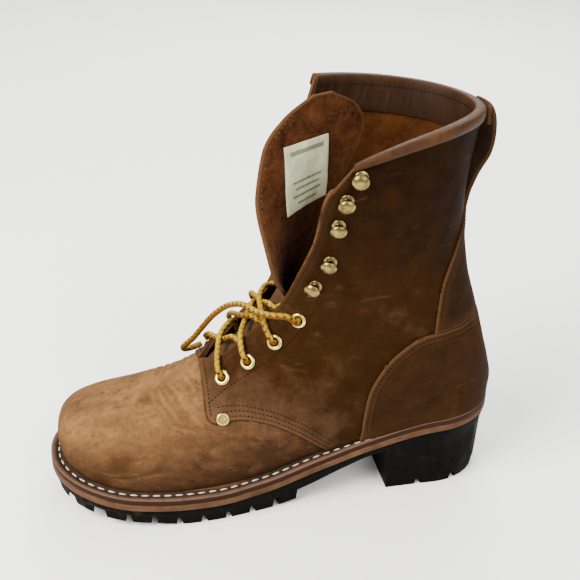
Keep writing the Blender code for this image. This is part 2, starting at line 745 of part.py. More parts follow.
def make_binding():
    """A strip folded over the collar, with a short outer leg and a deep inner band."""
    top = float(ROW["collar"])
    outer_leg = top - 0.25
    inner_leg = float(ROW["band_edge"])
    out_near = QUARTER_STEP + OVERLAY_GAP
    out_far = out_near + BINDING_THICKNESS
    in_near = -UPPER_WALL - OVERLAY_GAP
    in_far = in_near - BINDING_THICKNESS
    rise = 0.5
    profile = [
        (outer_leg, out_near, 0), (top, out_near, rise), (top, in_near, rise), (inner_leg, in_near, 0),
        (inner_leg, in_far, 0), (top, in_far, rise), (top, (in_far + out_far) / 2, rise + BINDING_THICKNESS),
        (top, out_far, rise), (outer_leg, out_far, 0),
    ]
    ends = 0.6

    def ring(v, side):
        points = []
        for u, offset, lift in profile:
            start = ends / section_length(u, side)
            point = upper_point(u, clamp(v, start, 1.0), side, offset)
            points.append(point + Vector((0, 0, lift)))
        return points

    shares = even_shares(UPPER_SHARES)
    rings = [ring(v, LATERAL) for v in shares] + [ring(v, MEDIAL) for v in reversed(shares[:-1])]
    size, last = len(profile), len(rings) - 1
    points = [p for r in rings for p in r]
    faces = []
    for r in range(last):
        for k in range(size):
            a, b = r * size + k, r * size + (k + 1) % size
            faces += [(a, b, b + size), (a, b + size, a + size)]
    faces += [tuple(range(size)), tuple(range(last * size, last * size + size))]
    return new_object("collar_binding", closed_mesh("collar_binding", points, faces), "binding")


def tongue_frame(a):
    """The tongue's middle point, width direction, outward direction, half widths and curl at row a."""
    def value(name, at):
        return by_row(TONGUE_COLUMNS, TONGUE_ROWS, name, at)

    def middle(at):
        return Vector((value("x", at), value("y", at), value("z", at)))

    turn = math.radians(value("turn", a))
    across = Vector((math.sin(turn), math.cos(turn), 0.0))
    last = len(TONGUE_ROWS) - 1
    along = middle(min(a + 0.05, last)) - middle(max(a - 0.05, 0))
    outward = along.cross(across).normalized()
    halves = {LATERAL: value("lateral_half", a), MEDIAL: value("medial_half", a)}
    return middle(a), across, outward, halves, value("curl", a)


def make_tongue():
    """A leather tongue, sewn under the vamp and swung forward out of the throat at its free end."""
    steps, across_steps = 16, 6
    rings = []
    for k in range(steps + 1):
        a = (len(TONGUE_ROWS) - 1) * k / steps
        middle, across, outward, halves, curl = tongue_frame(a)
        ring = []
        for face, order in ((0.5, range(-across_steps // 2, across_steps // 2 + 1)),
                            (-0.5, range(across_steps // 2, -across_steps // 2 - 1, -1))):
            for j in order:
                share = 2 * j / across_steps
                half = halves[MEDIAL if share > 0 else LATERAL]
                point = middle + across * (half * share) - outward * (curl * share * share)
                ring.append(point + outward * (face * TONGUE_THICKNESS))
        rings.append(ring)
    size = len(rings[0])
    points = [p for ring in rings for p in ring]
    faces = []
    for r in range(steps):
        for k in range(size):
            a, b = r * size + k, r * size + (k + 1) % size
            faces.append((a, b, b + size, a + size))
    for base in (0, steps * size):
        for k in range(size // 2 - 1):
            faces.append((base + k, base + k + 1, base + size - 2 - k, base + size - 1 - k))
    return new_object("tongue", closed_mesh("tongue", points, faces), "suede")


def make_pull_loop():
    """A strap bent out from the collar's back and sewn down to the backstay."""
    count = 18
    knots = list(range(len(LOOP_PATH)))

    def middle(t):
        return Vector((smooth_curve(knots, [p[0] for p in LOOP_PATH], t), smooth_curve(knots, [p[1] for p in LOOP_PATH], t)))

    front, back = [], []
    for k in range(count + 1):
        t = (len(LOOP_PATH) - 1) * k / count
        along = middle(min(t + 0.1, knots[-1])) - middle(max(t - 0.1, 0))
        out = Vector((along.y, -along.x)).normalized() * (LOOP_THICKNESS / 2)
        front.append(middle(t) + out)
        back.append(middle(t) - out)
    rim = front + back[::-1]
    size = len(rim)
    points = [(p.x, y, p.y) for y in (-LOOP_WIDTH / 2, LOOP_WIDTH / 2) for p in rim]
    faces = [(k, (k + 1) % size, (k + 1) % size + size, k + size) for k in range(size)]
    for base in (0, size):
        faces += [(base + k, base + k + 1, base + size - 2 - k, base + size - 1 - k) for k in range(count)]
    return new_object("pull_loop", closed_mesh("pull_loop", points, faces), "leather_dark")


# Hardware

def placed(u, v, side, lift):
    """The place and turn of a piece that stands on the quarter's outer face."""
    out = normal(u, v, side)
    turn = out.to_track_quat("Z", "Y").to_matrix().to_4x4()
    return Matrix.Translation(upper_point(u, v, side, lift) * MM) @ turn


def turned_mesh(name, profile, segments=8, ring=False):
    """A piece turned from a profile of (radius, height), closed on its axis unless it is a ring."""
    shape = bmesh.new()
    corners = [shape.verts.new(Vector((r, 0, h)) * MM) for r, h in profile]
    edges = [shape.edges.new(pair) for pair in zip(corners, corners[1:])]
    if ring:
        edges.append(shape.edges.new((corners[-1], corners[0])))
    bmesh.ops.spin(shape, geom=corners + edges, cent=(0, 0, 0), axis=(0, 0, 1), angle=2 * math.pi,
                   steps=segments, use_merge=True, use_duplicate=False)
    bmesh.ops.remove_doubles(shape, verts=shape.verts, dist=1e-6)
    bmesh.ops.recalc_face_normals(shape, faces=shape.faces)
    mesh = bpy.data.meshes.new(name)
    shape.to_mesh(mesh)
    shape.free()
    return mesh


EYELET_PROFILE = ((2.9, 0.0), (5.4, 0.0), (5.3, 0.6), (4.2, 1.3), (3.2, 1.0))
HOOK_PROFILE = ((0.0, 0.0), (4.6, 0.0), (2.8, 1.6), (2.8, 2.8), (5.2, 3.8), (4.4, 6.0), (0.0, 7.2))
RIVET_PROFILE = ((0.0, 0.0), (4.6, 0.0), (4.2, 0.8), (2.2, 1.3), (0.0, 1.4))
EYELET_HOLE = 2.6
EYELET_HEIGHT = 1.3


def facing_place(side, along, setback):
    u = row_along_facing(side, along)
    return u, share_from_front(u, side, setback), side


def eyelet_places(side):
    places = [FIRST_EYELET_ALONG + EYELET_SPACING * k for k in range(EYELET_COUNT)]
    return [facing_place(side, along, EYELET_SETBACK[side]) for along in places]


def hook_places(side):
    stretch = MEDIAL_STRETCH if side == MEDIAL else 1.0
    return [facing_place(side, along * stretch, setback) for along, setback in HOOK_ROWS]


def make_hardware(upper):
    lift = QUARTER_STEP + HARDWARE_LIFT
    for side in SIDES:
        for kind, places, profile, ring in (("eyelet", eyelet_places(side), EYELET_PROFILE, True),
                                            ("hook", hook_places(side), HOOK_PROFILE, False)):
            for k, place in enumerate(places):
                mesh = turned_mesh(kind, profile, ring=ring)
                piece = new_object(f"{kind}_{SIDE_NAMES[side]}_{k + 1}", mesh, "brass")
                piece.matrix_world = placed(*place, lift)
        for place in eyelet_places(side):
            drill = ((0.0, -8.0), (EYELET_HOLE, -8.0), (EYELET_HOLE, 8.0), (0.0, 8.0))
            tool = new_object("drill", turned_mesh("drill", drill), "leather")
            tool.matrix_world = placed(*place, 0.0)
            bpy.context.view_layer.update()
            boolean(upper, tool, "DIFFERENCE")
        rivet = new_object("rivet_" + SIDE_NAMES[side], turned_mesh("rivet", RIVET_PROFILE), "brass")
        rivet.matrix_world = placed(*RIVET_PLACE, side, lift)


# Lace

def smooth_path(points, steps):
    """Points along a smooth line through the given ones."""
    path = []
    last = len(points) - 1
    for k in range(last):
        a, b, c, d = (points[clamp_index(k + n, last)] for n in (-1, 0, 1, 2))
        for s in range(steps):
            t = s / steps
            path.append(0.5 * (2 * b + (c - a) * t + (2 * a - 5 * b + 4 * c - d) * t**2 + (3 * b - a - 3 * c + d) * t**3))
    return path + [points[-1]]


def clamp_index(index, last):
    return max(0, min(last, index))


def cord(name, points, steps):
    """A round cord along a smooth line through the given points."""
    path = smooth_path([Vector(p) for p in points], steps)
    radius = LACE_DIAMETER / 2
    along = (path[1] - path[0]).normalized()
    across = along.orthogonal().normalized()
    rings = []
    for k, point in enumerate(path):
        along = (path[min(k + 1, len(path) - 1)] - path[max(k - 1, 0)]).normalized()
        across = (across - along * across.dot(along)).normalized()
        up = along.cross(across)
        turns = [2 * math.pi * j / LACE_SIDES for j in range(LACE_SIDES)]
        rings.append([point + (across * math.cos(t) + up * math.sin(t)) * radius for t in turns])
    return new_object(name, closed_mesh(name, *loft(rings, True)), "lace", 70.0)


def throat_point(row, across, height):
    """A point over the throat: across runs from -1 on the lateral facing's edge to 1 on the medial one."""
    lateral, medial = surface(row, 0.0, LATERAL), surface(row, 0.0, MEDIAL)
    out = (normal(row, 0.0, LATERAL) + normal(row, 0.0, MEDIAL)).normalized()
    return lateral + (medial - lateral) * (across + 1) / 2 + out * height


def strand(name, side, place):
    """One strand from the face of an eyelet over the facing's edge and down across the throat."""
    u, v = place[:2]
    radius = LACE_DIAMETER / 2
    over_eyelet = QUARTER_STEP + HARDWARE_LIFT + EYELET_HEIGHT + radius + LACE_CLEARANCE
    over_edge = QUARTER_STEP + radius + LACE_CLEARANCE
    points = [
        upper_point(u, v, side, over_eyelet),
        upper_point(u + 0.05, v * 0.6, side, over_eyelet),
        upper_point(u + 0.2, 0.0, side, over_edge + 0.3),
        throat_point(u + 0.2 + STRAND_ROW_STEP / 2, 0.0, over_edge),
        throat_point(u + 0.2 + STRAND_ROW_STEP, -side * STRAND_REACH, over_edge - 0.8),
    ]
    return cord(name, points, 2)


def make_lace():
    """Crossed strands between the eyelets, each pair joined where it meets, and one free strand."""
    lateral, medial = eyelet_places(LATERAL), eyelet_places(MEDIAL)
    for k in range(EYELET_COUNT - 1):
        crossing = strand(f"lace_cross_{k + 1}", LATERAL, lateral[k])
        boolean(crossing, strand("strand", MEDIAL, medial[k]), "UNION")
    u, v = lateral[-1][:2]
    in_eyelet = QUARTER_STEP + HARDWARE_LIFT + 0.3
    over_eyelet = in_eyelet + EYELET_HEIGHT + LACE_DIAMETER / 2 + LACE_CLEARANCE
    start = [upper_point(u, v, LATERAL, offset) for offset in (in_eyelet, over_eyelet)]
    cord("lace_tail", start + list(TAIL_ROWS), 1)


def main():
    clear_scene()
    make_outsole()
    make_midsole()
    make_welt()
    make_insole()
    upper = make_upper()
    make_counter()
    make_backstay()
    make_binding()
    make_tongue()
    make_pull_loop()
    make_hardware(upper)
    make_lace()
    for item in bpy.data.objects:
        item.location.y += FRAME_SHIFT_Y * MM


main()
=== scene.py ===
"""A worn brown leather work boot with a lug sole and a stacked heel, standing with its hooks unlaced.

Sizes are in millimetres about the foot's own centre line, as the solids were cut: the toe points to -X, the
outer side of the foot is -Y, and the lugs stand on Z = 0. A finished mesh becomes metres in the shared frame.
"""

import math
from functools import lru_cache

import bmesh
import bpy
from mathutils import Matrix, Vector, noise


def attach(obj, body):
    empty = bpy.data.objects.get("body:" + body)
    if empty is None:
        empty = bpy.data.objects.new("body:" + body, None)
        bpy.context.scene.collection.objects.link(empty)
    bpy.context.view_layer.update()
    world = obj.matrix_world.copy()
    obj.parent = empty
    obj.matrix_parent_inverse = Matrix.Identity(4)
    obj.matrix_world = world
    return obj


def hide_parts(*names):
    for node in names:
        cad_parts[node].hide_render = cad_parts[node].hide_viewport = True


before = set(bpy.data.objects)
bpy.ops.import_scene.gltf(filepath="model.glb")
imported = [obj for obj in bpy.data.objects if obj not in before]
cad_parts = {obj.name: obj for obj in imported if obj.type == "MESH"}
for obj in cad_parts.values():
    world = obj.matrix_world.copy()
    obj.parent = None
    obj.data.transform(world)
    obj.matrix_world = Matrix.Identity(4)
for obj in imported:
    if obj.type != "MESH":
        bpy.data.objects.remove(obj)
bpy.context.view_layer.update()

MM = 0.001
FRAME_SHIFT_Y = 1.955
LATERAL = -1.0
MEDIAL = 1.0
SIDES = (LATERAL, MEDIAL)
SIDE_NAMES = {LATERAL: "lateral", MEDIAL: "medial"}

# The boot's driving sizes, the same as in the solids
SOLE_LENGTH = 316.0
TOE_X = -SOLE_LENGTH / 2
HEEL_X = SOLE_LENGTH / 2
TOE_ROUND = 62.0
HEEL_ROUND = 46.0
TOE_POWER = 2.2
HEEL_POWER = 2.0
TOE_SWING = 4.6
HEEL_SWING = -0.8
GAP = 0.3
WELT_THICKNESS = 4.2
MIDSOLE_THICKNESS = 5.0
TOE_LEDGE = 9.0
HEEL_LEDGE = 4.0
FEATHER_GAP = 0.5
LEDGE_FADE = (10.0, 90.0)
UPPER_WALL = 2.2
QUARTER_STEP = 1.6
COUNTER_THICKNESS = 1.8
BACKSTAY_THICKNESS = 1.4
BINDING_THICKNESS = 1.4
OVERLAY_GAP = 0.35
HARDWARE_LIFT = 0.6
EYELET_COUNT = 4
EYELET_HEIGHT = 1.3

WELT_COLUMNS = ("x", "lateral", "medial", "top")
WELT_ROWS = (
    (-157.0, 50.0, 53.0, 34.0),
    (-130.0, 53.0, 54.5, 30.0),
    (-105.0, 55.5, 54.5, 27.0),
    (-75.0, 56.8, 53.0, 24.6),
    (-50.0, 55.5, 49.5, 24.0),
    (-15.0, 50.0, 41.5, 27.0),
    (25.0, 44.0, 37.0, 37.0),
    (63.0, 41.0, 38.0, 48.0),
    (107.0, 39.5, 39.0, 57.5),
    (157.0, 39.0, 39.0, 61.0),
)

# Cross sections of the upper, from the ridge of the vamp or the facing's edge to the sole or the back line
SECTION_COLUMNS = (
    "name", "front_x", "front_z", "lateral_shift", "lateral_drop", "back_x", "back_z",
    "lateral_width", "medial_width", "lateral_gap", "medial_gap", "fullness", "heel_fullness", "crown",
)
SECTION_ROWS = (
    ("toe_tip", -148.0, 34.0, 0, 0, -148.0, 0, 0.0, 0.0, 0, 0, 0.80, 1.0, 0.9),
    ("toe_front", -150.8, 42.0, 0, 0, -147.0, 0, 9.5, 9.5, 0, 0, 0.80, 1.0, 0.9),
    ("toe_wall", -152.0, 51.0, 0, 0, -144.0, 0, 18.0, 18.0, 0, 0, 0.80, 1.0, 0.9),
    ("toe_shoulder", -149.5, 60.5, 0, 0, -138.0, 0, 27.5, 27.5, 0, 0, 0.80, 1.0, 0.9),
    ("toe_top", -140.0, 69.0, 0, 0, -128.0, 0, 36.0, 36.0, 0, 0, 0.80, 1.0, 0.9),
    ("toe_box", -122.0, 74.5, 0, 0, -113.0, 0, 42.5, 42.0, 0, 0, 0.82, 1.0, 0.9),
    ("toe_back", -103.0, 77.8, 0, 0, -97.0, 0, 46.0, 44.5, 0, 0, 0.84, 1.0, 0.92),
    ("ball_front", -86.0, 82.6, 0, 0, -80.0, 0, 47.5, 45.0, 0, 0, 0.86, 1.0, 0.95),
    ("ball", -70.0, 89.2, 0, 0, -60.0, 0, 47.5, 43.5, 0, 0, 0.90, 1.0, 1.0),
    ("throat", -54.0, 98.5, 0, 0, -38.0, 0, 46.0, 41.0, 0, 0, 0.94, 1.0, 1.0),
    ("first_eyelet", -40.0, 106.5, 0, 0, -12.0, 0, 44.0, 39.0, 10, 15, 0.97, 1.0, 1.0),
    ("second_eyelet", -24.6, 121.5, 0, 0, 16.0, 0, 42.5, 38.0, 12, 17, 1.0, 1.0, 1.0),
    ("instep", -11.0, 135.5, 0, 0, 46.0, 0, 41.0, 37.5, 14, 17.5, 1.0, 1.0, 1.0),
    ("last_eyelet", -3.0, 147.0, 0, 0, 78.0, 0, 40.0, 37.5, 17, 18, 1.0, 0.95, 1.0),
    ("ankle_front", 3.0, 161.0, 0, 0, 110.0, 0, 39.5, 38.0, 21, 19, 1.0, 0.88, 1.0),
    ("first_hook", 7.0, 175.0, 0, 0, 138.0, 0, 39.5, 38.5, 26, 21.5, 1.0, 0.82, 1.0),
    ("heel_base", 10.5, 188.0, 0, 0, 154.0, 0, 40.0, 39.0, 31, 25, 1.0, 0.80, 1.0),
    ("heel_bulge", 13.0, 201.0, 0.0, 2, 150.5, 80.0, 41.0, 39.5, 36, 30, 1.0, 0.80, 1.0),
    ("heel_top", 15.0, 213.0, -1.0, 5, 143.5, 106.0, 42.5, 40.0, 40.0, 33, 1.0, 0.82, 1.0),
    ("ankle_back", 17.0, 224.0, -2.0, 7, 135.5, 135.0, 44.5, 41.0, 43.0, 36, 1.0, 0.86, 1.0),
    ("ankle_neck", 18.5, 233.0, -3.0, 8, 126.5, 165.0, 47.0, 42.5, 45.0, 38, 1.0, 0.90, 1.0),
    ("shaft_low", 20.0, 242.0, -3.5, 9.5, 121.5, 196.0, 49.5, 45.0, 47.5, 40, 1.0, 0.94, 1.0),
    ("shaft_middle", 21.5, 251.0, -3.0, 12, 120.5, 225.0, 51.5, 48.0, 49.5, 42, 1.0, 0.96, 1.0),
    ("band_edge", 23.5, 260.0, -0.5, 16, 122.5, 254.0, 52.5, 50.5, 51.0, 44, 1.0, 0.98, 1.0),
    ("collar", 30.0, 282.0, 3.0, 26, 126.0, 276.0, 52.0, 52.0, 51.0, 46, 1.0, 1.0, 1.0),
)
ROW = {row[0]: index for index, row in enumerate(SECTION_ROWS)}
WIDTH_BLEND = 16.0
WIDEST_SHARE = 0.995
# Sections over which the instep's lines straighten, and over which they curve again: the first and how many
BEND_IN = (12, 4)
BEND_OUT = (16, 5)

# Side views of the panels, as (x, z) corners
QUARTER_EDGE = (
    (42, 28), (33, 38.5), (24.5, 46), (14.5, 55), (3.4, 63.6), (-11, 71.6), (-27, 75.4), (-38, 75),
    (-46.4, 73.6), (-51, 75.6), (-52.5, 80), (-52.5, 86), (-52.5, 93), (-52.5, 102), (-52.5, 112),
)
QUARTER_REST = ((-52.5, 330), (220, 330), (220, 0), (60, 0))
COUNTER_EDGE = (
    (53.5, 40), (54.3, 55), (54.3, 69.7), (57.3, 90.5), (66.8, 109.4), (76, 120), (88.6, 128.4), (102, 131),
    (120, 131.6), (140, 132), (165, 132.5),
)
COUNTER_REST = ((220, 132.5), (220, 0), (53.5, 0))
BACKSTAY_EDGE = (
    (98.6, 126), (99, 132.4), (99.6, 150), (101.5, 169), (110.0, 189), (115.2, 198), (118.0, 205),
    (119.4, 210), (121, 213), (124, 213.6), (140, 213.6),
)
BACKSTAY_REST = ((220, 213.6), (220, 133.0), (120, 132.6), (102, 132.0))

TONGUE_COLUMNS = ("x", "y", "z", "lateral_half", "medial_half", "turn", "curl")
TONGUE_ROWS = (
    (-64.0, 2.6, 87.6, 12.0, 12.0, 0.0, 3.0),
    (-50.0, 2.0, 94.5, 17.0, 20.0, 0.0, 8.0),
    (-33.0, 1.5, 107.0, 20.0, 26.0, 0.0, 12.0),
    (-15.0, 1.0, 125.0, 20.0, 25.0, 3.0, 12.0),
    (-1.0, 2.0, 145.0, 11.0, 22.0, 14.0, 9.0),
    (7.0, 6.5, 168.0, 30.0, 19.0, 34.0, 5.0),
    (13.0, 9.0, 195.0, 41.0, 26.0, 46.0, 4.0),
    (20.0, 14.5, 224.0, 46.0, 36.0, 58.0, 3.0),
    (26.0, 18.0, 250.0, 44.0, 40.0, 62.0, 2.0),
    (29.0, 18.0, 268.0, 31.0, 29.0, 63.0, 1.0),
    (30.0, 18.0, 279.0, 8.0, 8.0, 63.0, 0.0),
)
TONGUE_THICKNESS = 2.6

# The pull loop's middle line in side view, its size, how far its edges cup, and the radius they lie round
LOOP_PATH = (
    (130.6, 265.0), (131.0, 272.0), (132.8, 275.4), (135.7, 270.4), (137.4, 259.0), (135.6, 246.5),
    (129.0, 233.0), (124.6, 219.5), (122.6, 208.0),
)
LOOP_THICKNESS = 2.4
LOOP_WIDTH = 24.0
LOOP_CUP = 2.0
SHAFT_BACK_RADIUS = 46.0

EYELET_SETBACK = {LATERAL: 16.5, MEDIAL: 11.0}
FIRST_EYELET_ALONG = 16.5
EYELET_SPACING = 21.5
# Each hook's distance from the throat along the facing's edge, and how far back from that edge it stands
HOOK_ROWS = ((111.0, 14.0), (135.0, 15.5), (160.0, 13.0), (174.0, 12.0), (186.5, 12.0))
MEDIAL_STRETCH = 1.07
# The rivet's section and its share of the way down
RIVET_PLACE = (9.35, 0.50)

# The lace: its size, and the free strand that arches from the last lateral eyelet over the throat
LACE_DIAMETER = 4.2
LACE_CLEARANCE = 0.6
STRAND_REACH = 0.55
STRAND_ROW_STEP = 0.75
TAIL_ROWS = (
    (-0.3, -33.0, 148.6),
    (-9.3, -30.0, 148.6),
    (-17.7, -22.0, 147.4),
    (-25.0, -10.0, 147.0),
    (-33.2, 2.0, 140.3),
    (-41.5, 11.0, 129.0),
    (-47.6, 18.0, 117.0),
    (-54.8, 24.0, 103.5),
    (-60.9, 29.0, 94.5),
    (-60.0, 34.5, 88.5),
    (-54.0, 39.0, 86.5),
    (-47.0, 41.5, 87.5),
)

# Flex creases over the ball: the side, the section each starts from at the ridge, the one it reaches low
# down, how far down it runs as a share of the section, its depth and its half width
CREASE_ROWS = (
    (LATERAL, 6.60, 7.55, 0.46, 0.45, 1.3),
    (LATERAL, 6.95, 8.05, 0.58, 0.62, 1.2),
    (LATERAL, 7.22, 8.35, 0.50, 0.42, 0.9),
    (LATERAL, 7.50, 8.62, 0.64, 0.70, 1.3),
    (LATERAL, 7.80, 8.80, 0.44, 0.40, 0.9),
    (LATERAL, 8.10, 8.92, 0.52, 0.55, 1.1),
    (LATERAL, 8.45, 9.02, 0.36, 0.40, 1.0),
    (MEDIAL, 6.75, 7.70, 0.50, 0.50, 1.3),
    (MEDIAL, 7.15, 8.20, 0.56, 0.62, 1.2),
    (MEDIAL, 7.55, 8.55, 0.60, 0.66, 1.2),
    (MEDIAL, 7.95, 8.85, 0.48, 0.45, 1.0),
    (MEDIAL, 8.35, 9.00, 0.40, 0.42, 1.0),
)
# Soft folds where the ankle bends: the side, the ends as section and share, the depth and the half width
FOLD_ROWS = (
    (LATERAL, 13.2, 0.26, 17.0, 0.52, 1.5, 8.0),
    (LATERAL, 15.2, 0.18, 19.4, 0.40, 1.1, 7.0),
    (LATERAL, 17.6, 0.60, 18.6, 0.86, 1.2, 8.0),
    (LATERAL, 21.0, 0.30, 21.8, 0.70, 0.8, 9.0),
    (MEDIAL, 13.4, 0.28, 17.2, 0.55, 1.5, 8.0),
    (MEDIAL, 15.6, 0.20, 19.6, 0.42, 1.2, 7.0),
    (MEDIAL, 17.4, 0.62, 18.4, 0.86, 1.0, 8.0),
)
# Millimetres from one section to the next over the ball, and what shapes every crease and fold
ROW_PITCH = 15.5
CREASE_STRENGTH = 1.15
CREASE_WANDER = 0.10
CREASE_RIDGE = 0.5
CREASE_SPAN = 5
FOLD_LEAD = 2

# The hide's own unevenness as (height, size), and how the facings wave from the section where they part
HIDE_BUMPS = ((0.28, 30.0), (0.10, 9.0))
FACING_WAVE = 0.9
FACING_WAVE_FADE = 0.06
FACINGS_PART = 9.5


def clamp(value, low=0.0, high=1.0):
    return max(low, min(high, value))


def smoothstep(value):
    value = clamp(value)
    return value * value * (3 - 2 * value)


def smooth_curve(knots, values, at):
    """A curve through the values that never overshoots them, held level past its ends."""
    if at <= knots[0]:
        return values[0]
    if at >= knots[-1]:
        return values[-1]
    i = max(k for k in range(len(knots) - 1) if knots[k] <= at)

    def slope(k):
        return (values[k + 1] - values[k]) / (knots[k + 1] - knots[k])

    def tangent(k):
        if k == 0:
            return slope(0)
        if k == len(knots) - 1:
            return slope(k - 1)
        before, after = slope(k - 1), slope(k)
        return 0.0 if before * after <= 0 else 2 * before * after / (before + after)

    step = knots[i + 1] - knots[i]
    t = (at - knots[i]) / step
    return (
        (2 * t**3 - 3 * t**2 + 1) * values[i] + (t**3 - 2 * t**2 + t) * step * tangent(i)
        + (3 * t**2 - 2 * t**3) * values[i + 1] + (t**3 - t**2) * step * tangent(i + 1)
    )


@lru_cache(maxsize=None)
def column(columns, rows, name):
    place = columns.index(name)
    return tuple(row[place] for row in rows)


def by_x(columns, rows, name, x):
    return smooth_curve(column(columns, rows, "x"), column(columns, rows, name), x)


def by_row(columns, rows, name, u):
    values = column(columns, rows, name)
    return smooth_curve(range(len(values)), values, u)


# The sole's outline and heights

def welt_top(x):
    return by_x(WELT_COLUMNS, WELT_ROWS, "top", x)


def swing(x):
    return HEEL_SWING + (TOE_SWING - HEEL_SWING) * (HEEL_X - x) / SOLE_LENGTH


def ledge(x):
    low, high = LEDGE_FADE
    return TOE_LEDGE + (HEEL_LEDGE - TOE_LEDGE) * smoothstep((x - low) / (high - low))


def rounded_end(distance, length, power):
    share = clamp(distance / length)
    return (1 - (1 - share) ** power) ** (1 / power)


def half_width(x, side, inset, toe_inset, heel_inset):
    body = by_x(WELT_COLUMNS, WELT_ROWS, SIDE_NAMES[side], x) - inset
    toe = rounded_end(x - TOE_X - toe_inset, TOE_ROUND - toe_inset, TOE_POWER)
    heel = rounded_end(HEEL_X - heel_inset - x, HEEL_ROUND - heel_inset, HEEL_POWER)
    return max(body, 0.0) * toe * heel


def outline(count, toe_inset, heel_inset, extra=0.0):
    """Points (x, y) around the sole, from the heel's middle along the lateral side to the toe and back."""
    toe, heel = TOE_X + toe_inset + extra, HEEL_X - heel_inset - extra

    def point(k, side):
        x = heel + (toe - heel) * (1 - math.cos(math.pi * k / count)) / 2
        inset = extra + heel_inset if toe_inset == heel_inset else extra + ledge(x)
        return x, swing(x) + side * half_width(x, side, inset, toe_inset + extra, heel_inset + extra)

    lateral = [point(k, LATERAL) for k in range(count + 1)]
    medial = [point(k, MEDIAL) for k in range(count - 1, 0, -1)]
    return lateral + medial


# The upper's surface

def section_value(name, u):
    return by_row(SECTION_COLUMNS, SECTION_ROWS, name, u)


def depth_share(angle, crown):
    level = math.cos(angle)
    return (1 - math.copysign(abs(level) ** crown, level)) / 2


@lru_cache(maxsize=None)
def section(u, side):
    """All that one section of the upper needs: its ends in side view, widths, angles and fullness."""
    side_name = SIDE_NAMES[side]
    lateral = side == LATERAL
    shift = section_value("lateral_shift", u) if lateral else 0.0
    front = Vector((section_value("front_x", u) + shift, section_value("front_z", u)))
    back_x = section_value("back_x", u)
    if u <= ROW["heel_base"]:
        back_z = welt_top(back_x) + FEATHER_GAP
        end = half_width(back_x, side, ledge(back_x), TOE_LEDGE, HEEL_LEDGE)
    else:
        first = ROW["heel_base"]
        heights = (welt_top(HEEL_X - HEEL_LEDGE) + FEATHER_GAP,)
        heights += column(SECTION_COLUMNS, SECTION_ROWS, "back_z")[first + 1:]
        back_z, end = smooth_curve(range(first, len(SECTION_ROWS)), heights, u), 0.0
    wide = section_value(side_name + "_width", u)
    width = max((wide**WIDTH_BLEND + end**WIDTH_BLEND) ** (1 / WIDTH_BLEND), 1e-6)
    widest = WIDEST_SHARE * width
    gap = min(section_value(side_name + "_gap", u), widest)
    end = min(end, widest)
    fullness, heel_fullness = section_value("fullness", u), section_value("heel_fullness", u)
    start = math.asin((gap / width) ** (1 / fullness))
    stop = math.pi - math.asin((end / width) ** (1 / heel_fullness))
    straight, curved = (smoothstep((u - first) / count) for first, count in (BEND_IN, BEND_OUT))
    bend = straight * (1 - curved)
    drop = section_value("lateral_drop", u) if lateral else 0.0
    crown = section_value("crown", u)
    back = Vector((back_x, back_z))
    return front, back, width, gap, end, start, stop, fullness, heel_fullness, crown, bend, drop


def surface(u, v, side):
    """A point of the upper's outer face: v runs from the front line, 0, to the sole or the back line, 1."""
    front, back, width, _, _, start, stop, fullness, heel_fullness, crown, bend, drop = section(u, side)
    angle = start + (stop - start) * v
    power = fullness if angle < math.pi / 2 else heel_fullness
    out = width * max(math.sin(angle), 0.0) ** power
    low, high = depth_share(start, crown), depth_share(stop, crown)
    share = (depth_share(angle, crown) - low) / (high - low)
    height_share = share + (v - share) * bend * smoothstep(v)
    x = front.x + (back.x - front.x) * share
    z = front.y + (back.y - front.y) * height_share - drop * (1 - v) ** 3
    return Vector((x, swing(back.x) + side * out, z))


def normal(u, v, side):
    """The outward direction at a place of the upper, level where the upper meets the welt."""
    step, closed = 0.01, 0.01
    last = len(SECTION_ROWS) - 1
    u = max(u, 2 * step)
    along = surface(min(u + step, last), v, side) - surface(u - step, v, side)
    around = surface(u, min(v + step, 1.0), side) - surface(u, max(v - step, 0.0), side)
    gap, end = section(u, side)[3:5]
    if v <= 0.0 and gap < closed:
        around = Vector((0.0, side, 0.0))
    if v >= 1.0 and end < closed:
        around = Vector((0.0, -side, 0.0))
    out = side * along.cross(around)
    if v >= 1.0 and u <= ROW["heel_base"]:
        out.z = 0.0
    return out.normalized()


def upper_point(u, v, side, offset):
    return surface(u, v, side) + normal(u, v, side) * offset


def share_from_front(u, side, distance):
    """The v of the point that lies this far from the front line, along its section."""
    steps, gone = 60, 0.0
    last = surface(u, 0.0, side)
    for k in range(1, steps + 1):
        here = surface(u, k / steps, side)
        length = (here - last).length
        if gone + length >= distance:
            return (k - 1 + (distance - gone) / length) / steps
        gone, last = gone + length, here
    return 1.0


def row_along_facing(side, distance):
    """The u of the section whose facing edge lies this far from the throat, along the edge."""
    first, last, steps = ROW["throat"], ROW["collar"], 300
    gone, point = 0.0, surface(first, 0.0, side)
    for k in range(1, steps + 1):
        u = first + (last - first) * k / steps
        here = surface(u, 0.0, side)
        gone += (here - point).length
        if gone >= distance:
            return u
        point = here
    return float(last)


def facing_place(side, along, setback):
    u = row_along_facing(side, along)
    return u, share_from_front(u, side, setback), side


@lru_cache(maxsize=None)
def eyelet_places(side):
    places = [FIRST_EYELET_ALONG + EYELET_SPACING * k for k in range(EYELET_COUNT)]
    return [facing_place(side, along, EYELET_SETBACK[side]) for along in places]


@lru_cache(maxsize=None)
def hook_places(side):
    stretch = MEDIAL_STRETCH if side == MEDIAL else 1.0
    return [facing_place(side, along * stretch, setback) for along, setback in HOOK_ROWS]


def throat_point(row, across, height):
    """A point over the throat: across runs from -1 on the lateral facing's edge to 1 on the medial one."""
    lateral, medial = surface(row, 0.0, LATERAL), surface(row, 0.0, MEDIAL)
    out = (normal(row, 0.0, LATERAL) + normal(row, 0.0, MEDIAL)).normalized()
    return lateral + (medial - lateral) * (across + 1) / 2 + out * height


